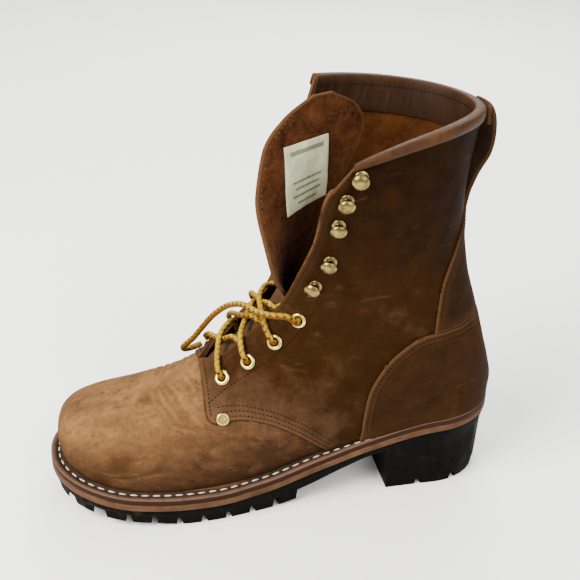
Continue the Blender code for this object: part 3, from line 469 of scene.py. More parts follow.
def smooth_path(points, steps):
    """Points along a smooth line through the given ones."""
    points = [Vector(p) for p in points]
    last = len(points) - 1
    path = []
    for k in range(last):
        a, b, c, d = (points[max(0, min(last, k + n))] for n in (-1, 0, 1, 2))
        for s in range(steps):
            t = s / steps
            path.append(0.5 * (2 * b + (c - a) * t + (2 * a - 5 * b + 4 * c - d) * t**2
                               + (3 * b - a - 3 * c + d) * t**3))
    return path + [points[-1]]


# Creases and folds, added to a panel's height over the last

def crease_depth(u, v, side):
    """How deep the flex creases lie here, with the small ridges between them counted as negative."""
    total = 0.0
    for crease_side, row_top, row_low, reach, depth, width in CREASE_ROWS:
        if crease_side != side or v > reach:
            continue
        share = v / reach
        wander = CREASE_WANDER * noise.noise(Vector((v * 7, row_top * 3, side)))
        line = row_top + (row_low - row_top) * share**1.3 + wander
        away = (u - line) * ROW_PITCH
        if abs(away) > CREASE_SPAN * width:
            continue
        fade = (1 - share**3) * smoothstep(0.25 + share * 3)
        groove = math.exp(-(away / width) ** 2)
        ridge = math.exp(-((away - 2 * width) / width) ** 2)
        total += CREASE_STRENGTH * depth * fade * (groove - CREASE_RIDGE * ridge)
    return total


def fold_depth(u, v, side):
    """The soft folds of the ankle and shaft."""
    total = 0.0
    here = surface(u, v, side)
    for fold_side, row_a, share_a, row_b, share_b, depth, width in FOLD_ROWS:
        if fold_side != side or not row_a - FOLD_LEAD < u < row_b + FOLD_LEAD:
            continue
        a, b = surface(row_a, share_a, side), surface(row_b, share_b, side)
        line = b - a
        t = clamp((here - a).dot(line) / line.dot(line))
        away = (here - a - line * t).length
        ends = smoothstep(t * 4) * smoothstep((1 - t) * 4)
        total += depth * ends * math.exp(-(away / width) ** 2)
    return total


def bumps(place, layers):
    """Soft bumps at a place: the sum of layers of (height, size)."""
    return sum(height * noise.noise(place / size) for height, size in layers)


def relief(u, v, side):
    """The leather's own unevenness over the last, in millimetres outwards."""
    uneven = bumps(surface(u, v, side), HIDE_BUMPS)
    edge_wave = 0.0
    if u > FACINGS_PART:
        wave = noise.noise(Vector((u * 0.9, side * 5, 3.1)))
        edge_wave = FACING_WAVE * wave * math.exp(-v / FACING_WAVE_FADE)
    return uneven + edge_wave - crease_depth(u, v, side) - fold_depth(u, v, side)


# Making and finishing meshes

RIM_ANGLE = 55.0
SMOOTH_ANGLE = 42.0
# A panel's measures: holes for the eyelets, the section from which a facing's edge counts, the sections where
# the vamp lies just outside the quarters, and a distance that means away from any edge
HOLE_RADIUS = 3.7
FACING_EDGE_FROM = 9.6
LAP_ROWS = (7.5, 13.0)
FAR_AWAY = 60.0
SLIDE_LIMIT = 2.5
PANEL_WELD = 0.05
SPIN_WELD = 0.001
SIDE_STEP = 0.004
NEAR_END = 0.99


def place_in_frame(shape):
    """Turn a bmesh from millimetres about the foot to metres in the shared frame."""
    bmesh.ops.translate(shape, vec=(0, FRAME_SHIFT_Y, 0), verts=shape.verts)
    bmesh.ops.scale(shape, vec=(MM, MM, MM), verts=shape.verts)


def finish_piece(shape, name, finishes, stands_for=(), wall=None, rounding=None,
                 smooth_angle=SMOOTH_ANGLE):
    """Make the piece's object, give it a wall and rounded rims, and set it on the boot."""
    place_in_frame(shape)
    mesh = bpy.data.meshes.new(name)
    shape.to_mesh(mesh)
    shape.free()
    for finish in finishes:
        mesh.materials.append(finish)
    piece = bpy.data.objects.new(name, mesh)
    bpy.context.scene.collection.objects.link(piece)
    if wall:
        solid = piece.modifiers.new("wall", "SOLIDIFY")
        solid.thickness = wall * MM
        solid.offset = -1.0
        solid.use_even_offset = False
        solid.material_offset = min(1, len(finishes) - 1)
        solid.material_offset_rim = min(2, len(finishes) - 1)
    if rounding:
        bevel = piece.modifiers.new("rims", "BEVEL")
        bevel.width = rounding * MM
        bevel.segments = 2
        bevel.limit_method = "ANGLE"
        bevel.angle_limit = math.radians(RIM_ANGLE)
    if piece.modifiers:
        graph = bpy.context.evaluated_depsgraph_get()
        solid_mesh = bpy.data.meshes.new_from_object(piece.evaluated_get(graph))
        piece.modifiers.clear()
        piece.data = solid_mesh
        bpy.data.meshes.remove(mesh)
    piece.data.name = name
    piece.data.shade_smooth()
    piece.data.set_sharp_from_angle(angle=math.radians(smooth_angle))
    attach(piece, "root")
    if stands_for:
        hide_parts(*stands_for)
    return piece


def spread(values, share):
    """The value at a share of the way along a list, between its items."""
    place = clamp(share) * (len(values) - 1)
    k = min(int(place), len(values) - 2)
    return values[k] + (values[k + 1] - values[k]) * (place - k)


def steps_between(*spans):
    """Evenly spaced values over spans of (first, last, count)."""
    values = []
    for first, last, count in spans:
        values += [first + (last - first) * k / count for k in range(count)]
    return values + [spans[-1][1]]


def side_line(corners, steps):
    """A smooth line through corners of the side view."""
    return [Vector((p.x, p.y)) for p in smooth_path([Vector((x, z, 0)) for x, z in corners], steps)]


def cut_outline(edge, rest):
    """A panel's side view: its smooth edge and the corners that close it beyond the boot."""
    return [(p.x, p.y) for p in side_line(edge, 5)] + list(rest)


def inside_distance(corners, x, z):
    """How far a point of the side view lies inside an outline, negative outside."""
    nearest, inside = 1e12, False
    ax, az = corners[-1]
    for bx, bz in corners:
        dx, dz, px, pz = bx - ax, bz - az, x - ax, z - az
        t = (px * dx + pz * dz) / (dx * dx + dz * dz + 1e-9)
        t = 0.0 if t < 0 else 1.0 if t > 1 else t
        away = (px - dx * t) ** 2 + (pz - dz * t) ** 2
        if away < nearest:
            nearest = away
        if (az > z) != (bz > z) and px < dx * pz / dz:
            inside = not inside
        ax, az = bx, bz
    return math.sqrt(nearest) if inside else -math.sqrt(nearest)


def slide_to_edge(place, corners, limit):
    """Move a place (u, v, side) along the upper onto the outline's edge, if it lies within a limit of it."""
    u, v, side = place
    last = len(SECTION_ROWS) - 1.0
    for turn in range(4):
        here = surface(u, v, side)
        miss = inside_distance(corners, here.x, here.z)
        step_v = SIDE_STEP if v < NEAR_END else -SIDE_STEP
        by_u, by_v = surface(u + SIDE_STEP, v, side), surface(u, v + step_v, side)
        grad_u = (inside_distance(corners, by_u.x, by_u.z) - miss) / SIDE_STEP
        grad_v = (inside_distance(corners, by_v.x, by_v.z) - miss) / step_v
        size_u, size_v = (max((by - here).length / SIDE_STEP, 1e-3) ** 2 for by in (by_u, by_v))
        slope = grad_u**2 / size_u + grad_v**2 / size_v
        if turn == 0 and abs(miss) > limit * math.sqrt(slope):
            return None
        if slope < 1e-4:
            break
        u = clamp(u - miss * grad_u / size_u / slope, 0.0, last)
        v = clamp(v - miss * grad_v / size_v / slope)
    return [u, v, side]


def trim(shape, places, corners):
    """Cut a sheet to an outline: slide the nearest points onto its edge, delete what lies outside."""
    inside = {vert: inside_distance(corners, vert.co.x, vert.co.z) for vert in shape.verts}
    for vert in shape.verts:
        reach = 0.5 * max(edge.calc_length() for edge in vert.link_edges)
        if abs(inside[vert]) < reach:
            moved = slide_to_edge(places[vert], corners, reach)
            if moved and (surface(*moved) - vert.co).length < SLIDE_LIMIT * reach:
                places[vert] = moved
                inside[vert] = 0.0
                vert.co = surface(*moved)
    for face in list(shape.faces):
        kept = [vert for vert in face.verts if inside[vert] >= 0]
        if len(kept) == 3 and len(face.verts) == 4:
            shape.faces.new(kept)
    bmesh.ops.delete(shape, geom=[vert for vert in shape.verts if inside[vert] < 0], context="VERTS")
    return inside


def panel(rows, shares, offset, corners=None, holes=(), under=None):
    """A sheet laid over both sides of the upper, sewn where they meet, trimmed to an outline and pierced."""
    shape = bmesh.new()
    marks = (shape.verts.layers.float.new(name) for name in ("edge", "crease", "quarter_shadow"))
    edge_mark, crease_mark, quarter_shadow_mark = marks
    places = {}
    for side in SIDES:
        made = bmesh.ops.create_grid(shape, x_segments=len(rows) - 1, y_segments=len(shares) - 1, size=1.0)
        for vert in made["verts"]:
            places[vert] = [spread(rows, (vert.co.x + 1) / 2), spread(shares, (vert.co.y + 1) / 2), side]
        if side == SIDES[0]:
            bmesh.ops.reverse_faces(shape, faces=shape.faces)
    for vert, place in places.items():
        vert.co = surface(*place)
    inside = trim(shape, places, corners) if corners else {}
    pierced = [face for face in shape.faces
               if any((face.calc_center_median() - hole).length < HOLE_RADIUS for hole in holes)]
    bmesh.ops.delete(shape, geom=pierced, context="FACES")
    for vert in shape.verts:
        u, v, side = places[vert]
        base = surface(u, v, side)
        vert.co = base + normal(u, v, side) * (offset + relief(u, v, side))
        facing = (base - surface(u, 0.0, side)).length if u > FACING_EDGE_FROM else FAR_AWAY
        laps = under and LAP_ROWS[0] < u < LAP_ROWS[1]
        vert[edge_mark] = min(facing, inside.get(vert, FAR_AWAY))
        vert[crease_mark] = crease_depth(u, v, side)
        # How far below the quarters' edge the vamp lies, where its finish paints a shadow
        vert[quarter_shadow_mark] = -inside_distance(under, base.x, base.z) if laps else FAR_AWAY
    bmesh.ops.remove_doubles(shape, verts=shape.verts, dist=PANEL_WELD)
    loose = [vert for vert in shape.verts if not vert.link_faces]
    bmesh.ops.delete(shape, geom=loose, context="VERTS")
    return shape


def grid_sheet(across_count, along_count, point):
    """A sheet whose points are worked out from two shares, each from 0 to 1."""
    shape = bmesh.new()
    edge_mark = shape.verts.layers.float.new("edge")
    made = bmesh.ops.create_grid(shape, x_segments=across_count, y_segments=along_count, size=1.0)
    for vert in made["verts"]:
        vert.co, vert[edge_mark] = point((vert.co.x + 1) / 2, (vert.co.y + 1) / 2)
    return shape


def face_along(shape, outward):
    """Turn all faces of a sheet towards the side that a rule gives for each face's middle."""
    bmesh.ops.recalc_face_normals(shape, faces=shape.faces)
    if sum(face.normal.dot(outward(face.calc_center_median())) for face in shape.faces) < 0:
        bmesh.ops.reverse_faces(shape, faces=shape.faces)


def ring_edges(ring):
    """The edges of a closed ring of vertices, in their order."""
    pairs = zip(ring, ring[1:] + ring[:1])
    return [next(edge for edge in vert.link_edges if edge.other_vert(vert) is other) for vert, other in pairs]


def extruded(shape, ring):
    """A fresh ring of vertices, extruded from this one in the same order."""
    made = bmesh.ops.extrude_edge_only(shape, edges=ring_edges(ring))["geom"]
    fresh = {item for item in made if isinstance(item, bmesh.types.BMVert)}
    beside = [[edge.other_vert(vert) for edge in vert.link_edges] for vert in ring]
    return [next(vert for vert in around if vert in fresh) for around in beside]


def swept(rings, joined=False):
    """A skin drawn through rings of equal count: a circle laid on the first and extruded to each next one."""
    shape = bmesh.new()
    marks = {name: shape.verts.layers.float.new(name) for name in ("length", "turn", "level", "ring", "rise")}
    size = len(rings[0])
    ring = bmesh.ops.create_circle(shape, segments=size, radius=1.0)["verts"]
    ring.sort(key=lambda vert: math.atan2(vert.co.y, vert.co.x) % (2 * math.pi - 1e-4))
    first = ring
    gone, middle = 0.0, None
    for number, points in enumerate(rings):
        if number:
            ring = extruded(shape, ring)
        here = sum((Vector(p) for p in points), Vector()) / size
        gone += (here - middle).length if middle else 0.0
        middle = here
        for k, (vert, point) in enumerate(zip(ring, points)):
            angle = 2 * math.pi * k / size
            vert.co = point
            vert[marks["length"]] = gone
            vert[marks["turn"]] = math.sin(angle)
            vert[marks["level"]] = math.cos(angle)
            vert[marks["ring"]] = number / (len(rings) - 1)
            vert[marks["rise"]] = (vert.co - here).normalized().z
    ends = [ring_edges(loop) for loop in (first, ring)]
    if joined:
        bmesh.ops.bridge_loops(shape, edges=ends[0] + ends[1])
    else:
        for edges in ends:
            bmesh.ops.holes_fill(shape, edges=edges, sides=0)
    bmesh.ops.recalc_face_normals(shape, faces=shape.faces)
    return shape


def tube_rings(path, radius, sides):
    """Rings of a round cord along a path, turned as little as the path allows."""
    across = (path[1] - path[0]).normalized().orthogonal().normalized()
    turns = [2 * math.pi * j / sides for j in range(sides)]
    rings = []
    for k, point in enumerate(path):
        along = (path[min(k + 1, len(path) - 1)] - path[max(k - 1, 0)]).normalized()
        across = (across - along * across.dot(along)).normalized()
        up = along.cross(across)
        rings.append([point + (across * math.cos(t) + up * math.sin(t)) * radius for t in turns])
    return rings


def turned(shape, profile, matrix, segments, ring=False):
    """Turn a profile of (radius, height) about its own axis, into a bmesh that may hold other pieces."""
    height_mark = shape.verts.layers.float.get("height") or shape.verts.layers.float.new("height")
    corners = [shape.verts.new(Vector((r, 0, h))) for r, h in profile]
    for corner in corners:
        corner[height_mark] = corner.co.z
    edges = [shape.edges.new(pair) for pair in zip(corners, corners[1:])]
    if ring:
        edges.append(shape.edges.new((corners[-1], corners[0])))
    before = set(shape.verts) - set(corners)
    bmesh.ops.spin(shape, geom=corners + edges, cent=(0, 0, 0), axis=(0, 0, 1), angle=2 * math.pi,
                   steps=segments, use_merge=True, use_duplicate=False)
    fresh = [vert for vert in shape.verts if vert not in before]
    bmesh.ops.remove_doubles(shape, verts=fresh, dist=SPIN_WELD)
    fresh = [vert for vert in shape.verts if vert not in before]
    skin = [face for face in shape.faces if face.verts[0] not in before]
    bmesh.ops.recalc_face_normals(shape, faces=skin)
    bmesh.ops.transform(shape, matrix=matrix, verts=fresh)


def standing_on(u, v, side, lift):
    """The place and turn of a piece that stands on the quarter's face, with X up along the facing."""
    step = 0.2
    out = normal(u, v, side)
    up = surface(min(u + step, ROW["collar"]), v, side) - surface(u - step, v, side)
    up = (up - out * up.dot(out)).normalized()
    across = out.cross(up)
    turn = Matrix((up, across, out)).transposed().to_4x4()
    return Matrix.Translation(upper_point(u, v, side, lift)) @ turn


def in_frame(point):
    """A point in metres in the shared frame."""
    return (Vector(point) + Vector((0, FRAME_SHIFT_Y, 0))) * MM


# Finishes

def tone(red, green, blue):
    """A colour as the thousandths of red, green and blue light that a surface gives back."""
    return red / 1000, green / 1000, blue / 1000, 1.0


class Finish:
    """A material built up from layers of grain on the boot's own coordinates."""

    def __init__(self, name, roughness=0.7, metallic=0.0, specular=0.5, sheen=0.0):
        self.made = bpy.data.materials.new(name)
        self.made.use_nodes = True
        self.tree = self.made.node_tree
        self.shader = self.tree.nodes["Principled BSDF"]
        self.shader.inputs["Roughness"].default_value = roughness
        self.shader.inputs["Metallic"].default_value = metallic
        self.shader.inputs["Specular IOR Level"].default_value = specular
        self.shader.inputs["Sheen Weight"].default_value = sheen
        self.place = self.add("ShaderNodeTexCoord").outputs["Object"]
        self.height = None

    def add(self, kind, inputs=None, **settings):
        item = self.tree.nodes.new(kind)
        for key, value in settings.items():
            setattr(item, key, value)
        for key, value in (inputs or {}).items():
            if isinstance(value, bpy.types.NodeSocket):
                self.tree.links.new(value, item.inputs[key])
            else:
                item.inputs[key].default_value = value
        return item

    def grain(self, scale, detail=3.0, rough=0.55, stretch=None, warp=0.0):
        place = self.place
        if stretch:
            place = self.add("ShaderNodeMapping", {"Vector": place, "Scale": stretch}).outputs["Vector"]
        item = self.add("ShaderNodeTexNoise", {"Vector": place, "Scale": scale, "Detail": detail,
                                               "Roughness": rough, "Distortion": warp})
        return item.outputs["Fac"]

    def cells(self, scale):
        return self.add("ShaderNodeTexVoronoi", {"Vector": self.place, "Scale": scale}).outputs["Distance"]

    def mark(self, name):
        return self.add("ShaderNodeAttribute", attribute_name=name).outputs["Fac"]

    def axis(self, name):
        return self.add("ShaderNodeSeparateXYZ", {"Vector": self.place}).outputs[name]

    def distance(self, point):
        ends = {0: self.place, 1: point}
        return self.add("ShaderNodeVectorMath", ends, operation="DISTANCE").outputs["Value"]

    def span(self, value, low, high, to_low=0.0, to_high=1.0):
        item = self.add("ShaderNodeMapRange", {"Value": value, "From Min": low, "From Max": high,
                                               "To Min": to_low, "To Max": to_high})
        item.interpolation_type = "SMOOTHSTEP"
        return item.outputs["Result"]

    def calc(self, operation, *values):
        return self.add("ShaderNodeMath", dict(enumerate(values)), operation=operation).outputs["Value"]

    def plus(self, a, b):
        return self.calc("ADD", a, b)

    def both(self, a, b):
        return self.calc("MULTIPLY", a, b)

    def sway(self, value, middle, amount):
        """How far a layer of grain lies from its middle, times an amount."""
        return self.both(self.calc("SUBTRACT", value, middle), amount)

    def ramp(self, value, *stops):
        item = self.add("ShaderNodeValToRGB", {"Fac": value})
        band = item.color_ramp
        while len(band.elements) < len(stops):
            band.elements.new(0.5)
        for element, (place, colour) in zip(band.elements, stops):
            element.position = place
            element.color = colour
        return item.outputs["Color"]

    def mix(self, share, a, b):
        return self.add("ShaderNodeMix", {0: share, 6: a, 7: b}, data_type="RGBA").outputs[2]

    def tint(self, colour, value, low, high, most, shade):
        """Lay a shade over a colour, from nothing where the value is low to the most where it is high."""
        return self.mix(self.span(value, low, high, 0.0, most), colour, shade)

    def raise_by(self, value, strength, distance):
        """Add a layer of bump, distance in millimetres."""
        inputs = {"Height": value, "Strength": strength, "Distance": distance * MM}
        if self.height is not None:
            inputs["Normal"] = self.height
        self.height = self.add("ShaderNodeBump", inputs).outputs["Normal"]

    def done(self, colour, roughness=None):
        if isinstance(colour, bpy.types.NodeSocket):
            self.tree.links.new(colour, self.shader.inputs["Base Color"])
        else:
            self.shader.inputs["Base Color"].default_value = colour
        if roughness is not None:
            self.tree.links.new(roughness, self.shader.inputs["Roughness"])
        if self.height is not None:
            self.tree.links.new(self.height, self.shader.inputs["Normal"])
        return self.made


def leather_grain(finish):
    """Pores, nap and faint drawn lines of an oiled, brushed hide."""
    finish.raise_by(finish.grain(260, 5.0, 0.6, warp=0.4), 0.22, 0.5)
    finish.raise_by(finish.cells(900), 0.12, 0.22)
    finish.raise_by(finish.grain(2200, 2.0), 0.16, 0.15)


# Dark rubbed marks on the toe: the middle of each and how far it reaches
SMUDGES = (
    (-112.3, -40.8, 51.8, 12.0), (-120.1, 8.3, 74.8, 2.6), (-108.6, 6.2, 76.8, 2.4),
    (-92.0, -12.0, 79.5, 10.0), (-150.0, -14.0, 50.0, 9.0),
)


def vamp_leather():
    """Brushed hide: paler toe, painted shade lower down, darker along the welt, painted shadow under the
    quarters' edges.
    """
    finish = Finish("vamp_leather", 0.80, specular=0.03)
    along, up = finish.axis("X"), finish.axis("Z")
    cloud = finish.grain(17, 5.0, 0.62, warp=0.6)
    patch = finish.grain(62, 5.0, 0.66)
    fine = finish.grain(330, 4.0, 0.7)
    streak = finish.grain(85, 4.0, 0.6, stretch=(0.35, 1.0, 0.8), warp=1.2)
    # Painted shade: the height term darkens the vamp towards the welt; the term along the boot is the hide's
    # paler toe
    lightness = finish.plus(finish.span(along, 0.015, -0.105, 0.0, 0.32), finish.span(up, 0.030, 0.082, 0.0, 0.36))
    for layer, middle, amount in ((cloud, 0.53, 1.0), (streak, 0.5, 0.7), (patch, 0.5, 0.8)):
        lightness = finish.plus(lightness, finish.sway(layer, middle, amount))
    colour = finish.ramp(lightness, (0.05, tone(28, 12.5, 5)), (0.35, tone(72, 34, 14)),
                         (0.62, tone(116, 57, 22.5)), (0.95, tone(186, 92, 33)))
    colour = finish.tint(colour, fine, 0.46, 0.70, 0.38, tone(44, 18, 6))
    crease = finish.mark("crease")
    # Painted shade in the creases' grooves, and the ridges between them made lighter
    colour = finish.tint(colour, crease, 0.10, 0.70, 0.26, tone(52, 23, 9))
    colour = finish.tint(colour, crease, -0.04, -0.30, 0.22, tone(205, 110, 46))
    # Darker low down near the welt, in patches, most towards the toe
    low_darkening = finish.both(finish.span(up, 0.068, 0.036), finish.span(patch, 0.30, 0.56, 0.35, 1.0))
    low_darkening = finish.both(low_darkening, finish.span(along, -0.060, -0.130, 0.12, 0.85))
    colour = finish.mix(low_darkening, colour, tone(24, 10, 3.5))
    # Painted shadow along the vamp just below the quarters' edges
    colour = finish.tint(colour, finish.mark("quarter_shadow"), 2.6, 0.4, 0.75, tone(16, 6.5, 2.2))
    for x, y, z, reach in SMUDGES:
        size = reach * MM
        away = finish.distance(in_frame((x, y, z)))
        ragged = finish.plus(away, finish.both(patch, 0.8 * size))
        colour = finish.tint(colour, ragged, 1.3 * size, 0.5 * size, 0.55, tone(30, 11, 3.5))
    ball = finish.both(finish.span(along, -0.125, -0.090), finish.span(up, 0.040, 0.065))
    wrinkle = finish.grain(150, 4.0, 0.6, stretch=(1.0, 0.28, 0.35), warp=0.8)
    finish.raise_by(finish.both(wrinkle, ball), 0.55, 1.6)
    scuff = finish.grain(48, 4.0, 0.7, stretch=(0.45, 1.0, 1.7), warp=2.6)
    colour = finish.tint(colour, scuff, 0.55, 0.70, 0.20, tone(215, 118, 50))
    rub = finish.grain(40, 4.0, 0.7, stretch=(0.6, 1.0, 1.3), warp=2.2)
    colour = finish.tint(colour, rub, 0.44, 0.33, 0.45, tone(38, 16, 6))
    leather_grain(finish)
    return finish.done(colour, finish.span(cloud, 0.3, 0.7, 0.72, 0.88))


def shaft_leather(name, dark, middle, light, dusty=1.0):
    """Oiled hide: dusty low down at the front, darker up the shaft, rubbed along its cut edges."""
    finish = Finish(name, 0.72, specular=0.025)
    along, up, edge = finish.axis("X"), finish.axis("Z"), finish.mark("edge")
    cloud = finish.grain(15, 5.0, 0.62, warp=0.8)
    patch = finish.grain(70, 5.0, 0.66)
    fine = finish.grain(380, 4.0, 0.7)
    dust = finish.both(finish.span(up, 0.125, 0.050), finish.span(along, 0.070, -0.050, 0.0, 0.62 * dusty))
    lightness = finish.plus(finish.span(up, 0.150, 0.250, 0.38, 0.16), dust)
    for layer, amount in ((cloud, 0.65), (patch, 0.5)):
        lightness = finish.plus(lightness, finish.sway(layer, 0.5, amount))
    colour = finish.ramp(lightness, (0.08, dark), (0.42, middle), (0.92, light))
    colour = finish.tint(colour, fine, 0.48, 0.72, 0.30, dark)
    colour = finish.tint(colour, edge, 10.0, 1.0, 0.22, tone(60, 28, 10))
    colour = finish.tint(colour, edge, 1.5, 0.2, 0.45, tone(70, 32, 12))
    scuff = finish.grain(36, 4.0, 0.7, stretch=(0.6, 0.6, 1.6), warp=2.6)
    colour = finish.tint(colour, scuff, 0.60, 0.72, 0.22, light)
    leather_grain(finish)
    return finish.done(colour, finish.span(cloud, 0.3, 0.7, 0.62, 0.82))


def suede(name, dark, light, nap=1.0, edge_tone=None, foot_tone=None):
    """The napped side of a hide, with a rubbed edge and a paler foot where their tones are given."""
    finish = Finish(name, 0.95, specular=0.02, sheen=0.02)
    cloud = finish.grain(30, 4.0, 0.6, warp=0.8)
    patch = finish.grain(210, 4.0, 0.7)
    fibre = finish.grain(1000, 3.0, 0.7)
    value = finish.sway(cloud, 0.5, 0.7)
    for layer in (patch, fibre):
        value = finish.plus(value, finish.both(layer, 0.5))
    colour = finish.ramp(value, (0.30, dark), (0.72, light))
    if foot_tone:
        colour = finish.tint(colour, finish.axis("Z"), 0.162, 0.146, 0.8, foot_tone)
    if edge_tone:
        ragged = finish.plus(finish.mark("edge"), finish.both(patch, -1.6))
        colour = finish.tint(colour, ragged, 3.0, 0.0, 0.75, edge_tone)
    finish.raise_by(patch, 0.25 * nap, 0.5)
    finish.raise_by(fibre, 0.45 * nap, 0.3)
    return finish.done(colour)


def raw_edge():
    finish = Finish("raw_leather_edge", 0.9, specular=0.03)
    fibre = finish.grain(900, 4.0, 0.7)
    colour = finish.ramp(fibre, (0.3, tone(32, 14, 5.5)), (0.7, tone(80, 39, 17)))
    finish.raise_by(fibre, 0.4, 0.3)
    return finish.done(colour)


def binding_leather():
    finish = Finish("binding_leather", 0.55, specular=0.05)
    cloud, wrinkle = finish.grain(40, 4.0, 0.6), finish.grain(300, 4.0, 0.6, stretch=(1, 1, 0.25))
    colour = finish.ramp(cloud, (0.3, tone(24, 10, 3.8)), (0.7, tone(54, 23, 8.5)))
    colour = finish.tint(colour, finish.mark("turn"), 0.25, -0.35, 0.75, tone(11, 5, 3))
    colour = finish.tint(colour, wrinkle, 0.5, 0.7, 0.4, tone(9, 4.5, 3))
    finish.raise_by(wrinkle, 0.45, 0.6)
    finish.raise_by(finish.cells(1100), 0.15, 0.2)
    return finish.done(colour, finish.span(cloud, 0.3, 0.7, 0.40, 0.60))


def welt_leather():
    """Dark oiled strip with a paler lip, partly a painted highlight, its parts found by the share of the way
    round its section.
    """
    finish = Finish("welt_leather", 0.68, specular=0.04)
    cloud, streak = finish.grain(60, 5.0, 0.65), finish.grain(240, 4.0, 0.65, stretch=(1, 1, 3))
    ring = finish.mark("ring")
    colour = finish.ramp(cloud, (0.30, tone(13, 7.5, 4.5)), (0.70, tone(36, 20, 12)))
    # The lip's pale tone is partly its own colour and partly a painted highlight along its top
    lip = finish.both(finish.span(ring, 0.35, 0.42, 0.0, 0.75), finish.span(ring, 0.65, 0.58))
    colour = finish.mix(lip, colour, tone(112, 62, 40))
    colour = finish.tint(colour, ring, 0.60, 0.67, 0.8, tone(17, 6.5, 4))
    colour = finish.tint(colour, streak, 0.48, 0.72, 0.4, tone(10, 6, 4))
    finish.raise_by(streak, 0.3, 0.4)
    finish.raise_by(finish.grain(1500, 2.0), 0.15, 0.2)
    return finish.done(colour, finish.span(cloud, 0.3, 0.7, 0.5, 0.75))


def midsole_leather():
    finish = Finish("midsole_leather", 0.62, specular=0.06)
    cloud, layers = finish.grain(70, 5.0, 0.65), finish.grain(700, 3.0, 0.6, stretch=(0.08, 0.08, 1.6))
    colour = finish.ramp(cloud, (0.30, tone(44, 19, 8)), (0.70, tone(92, 44, 21)))
    colour = finish.tint(colour, layers, 0.45, 0.65, 0.5, tone(30, 13, 7))
    finish.raise_by(layers, 0.3, 0.35)
    return finish.done(colour)


def sole_rubber():
    """Black rubber under a film of dust that thins towards the heel."""
    finish = Finish("sole_rubber", 0.72, specular=0.025)
    cloud, dust, speck = finish.grain(45, 5.0, 0.65), finish.grain(150, 5.0, 0.7), finish.grain(900, 3.0, 0.6)
    film = finish.both(finish.span(cloud, 0.44, 0.66), finish.span(dust, 0.42, 0.66))
    film = finish.both(film, finish.span(finish.axis("X"), 0.02, -0.10, 0.2, 0.8))
    colour = finish.mix(film, tone(1.5, 1.6, 1.1), tone(24, 18, 11))
    colour = finish.tint(colour, speck, 0.58, 0.72, 0.2, tone(14, 12, 8))
    finish.raise_by(dust, 0.2, 0.5)
    finish.raise_by(speck, 0.25, 0.25)
    return finish.done(colour, finish.span(cloud, 0.35, 0.65, 0.55, 0.82))


def insole_leather():
    finish = Finish("insole_leather", 0.8, specular=0.1)
    colour = finish.ramp(finish.grain(30, 4.0, 0.6), (0.3, tone(46, 22, 10)), (0.7, tone(96, 50, 24)))
    finish.raise_by(finish.grain(700, 3.0, 0.6), 0.25, 0.3)
    return finish.done(colour)


def brass(name, dark, light, hollow_from, hollow_to):
    """Plated brass, with painted shade where the turned profile is hollow, between two heights in
    millimetres.
    """
    finish = Finish(name, 0.24, metallic=1.0)
    cloud, scratch = finish.grain(260, 4.0, 0.65), finish.grain(1800, 3.0, 0.6, stretch=(1, 1, 0.2))
    colour = finish.ramp(cloud, (0.30, dark), (0.62, light))
    height = finish.mark("height")
    # Painted shade in the hollow: under a hook's cap, down an eyelet's barrel
    hollow_shade = finish.both(finish.span(height, hollow_from - 0.4, hollow_from + 0.2),
                          finish.span(height, hollow_to + 0.5, hollow_to - 0.1, 0.0, 0.85))
    colour = finish.mix(hollow_shade, colour, tone(22, 15, 6))
    finish.raise_by(scratch, 0.06, 0.1)
    return finish.done(colour, finish.span(cloud, 0.35, 0.7, 0.34, 0.15))


def lace_cord():
    """A round braid of yellow strands with painted shade below and between them, and a row of brown flecks
    along its side.
    """
    finish = Finish("lace_cord", 0.75, specular=0.05)
    strands_around, braid_pitch = 2.0, 4.2
    angle = finish.both(finish.calc("ARCTAN2", finish.mark("turn"), finish.mark("level")), strands_around)
    along = finish.both(finish.mark("length"), 2 * math.pi / braid_pitch)
    right = finish.calc("SINE", finish.plus(along, angle))
    left = finish.calc("SINE", finish.calc("SUBTRACT", along, angle))
    braid = finish.calc("MAXIMUM", right, left)
    rise = finish.mark("rise")
    fleck = finish.both(finish.span(right, 0.15, 0.65), finish.span(left, 0.7, -0.1))
    for low, high in ((-0.35, 0.0), (0.8, 0.5)):
        fleck = finish.both(fleck, finish.span(rise, low, high))
    colour = finish.ramp(finish.grain(110, 4.0, 0.6), (0.3, tone(180, 104, 5)), (0.7, tone(345, 232, 18)))
    # Painted shade: red-brown where the cord faces down
    colour = finish.tint(colour, rise, 0.62, 0.0, 0.9, tone(88, 27, 3))
    colour = finish.mix(fleck, colour, tone(34, 8, 1.6))
    # Painted shade in the grooves between the braid's strands
    colour = finish.tint(colour, braid, 0.2, -0.3, 0.6, tone(80, 26, 3))
    finish.raise_by(braid, 0.35, 0.25)
    finish.raise_by(finish.grain(2400, 2.0), 0.15, 0.12)
    return finish.done(colour)


def thread(name, dark, light):
    finish = Finish(name, 0.75, specular=0.05)
    colour = finish.ramp(finish.grain(500, 3.0), (0.3, dark), (0.7, light))
    finish.raise_by(finish.grain(2600, 2.0, stretch=(1, 1, 0.4)), 0.3, 0.15)
    return finish.done(colour)


# The label's plain bars: shares along it from and to, and half of each one's share across
LABEL_BARS = (
    (0.12, 0.20, 0.38), (0.58, 0.615, 0.34), (0.68, 0.715, 0.28), (0.78, 0.815, 0.34), (0.88, 0.915, 0.22),
)


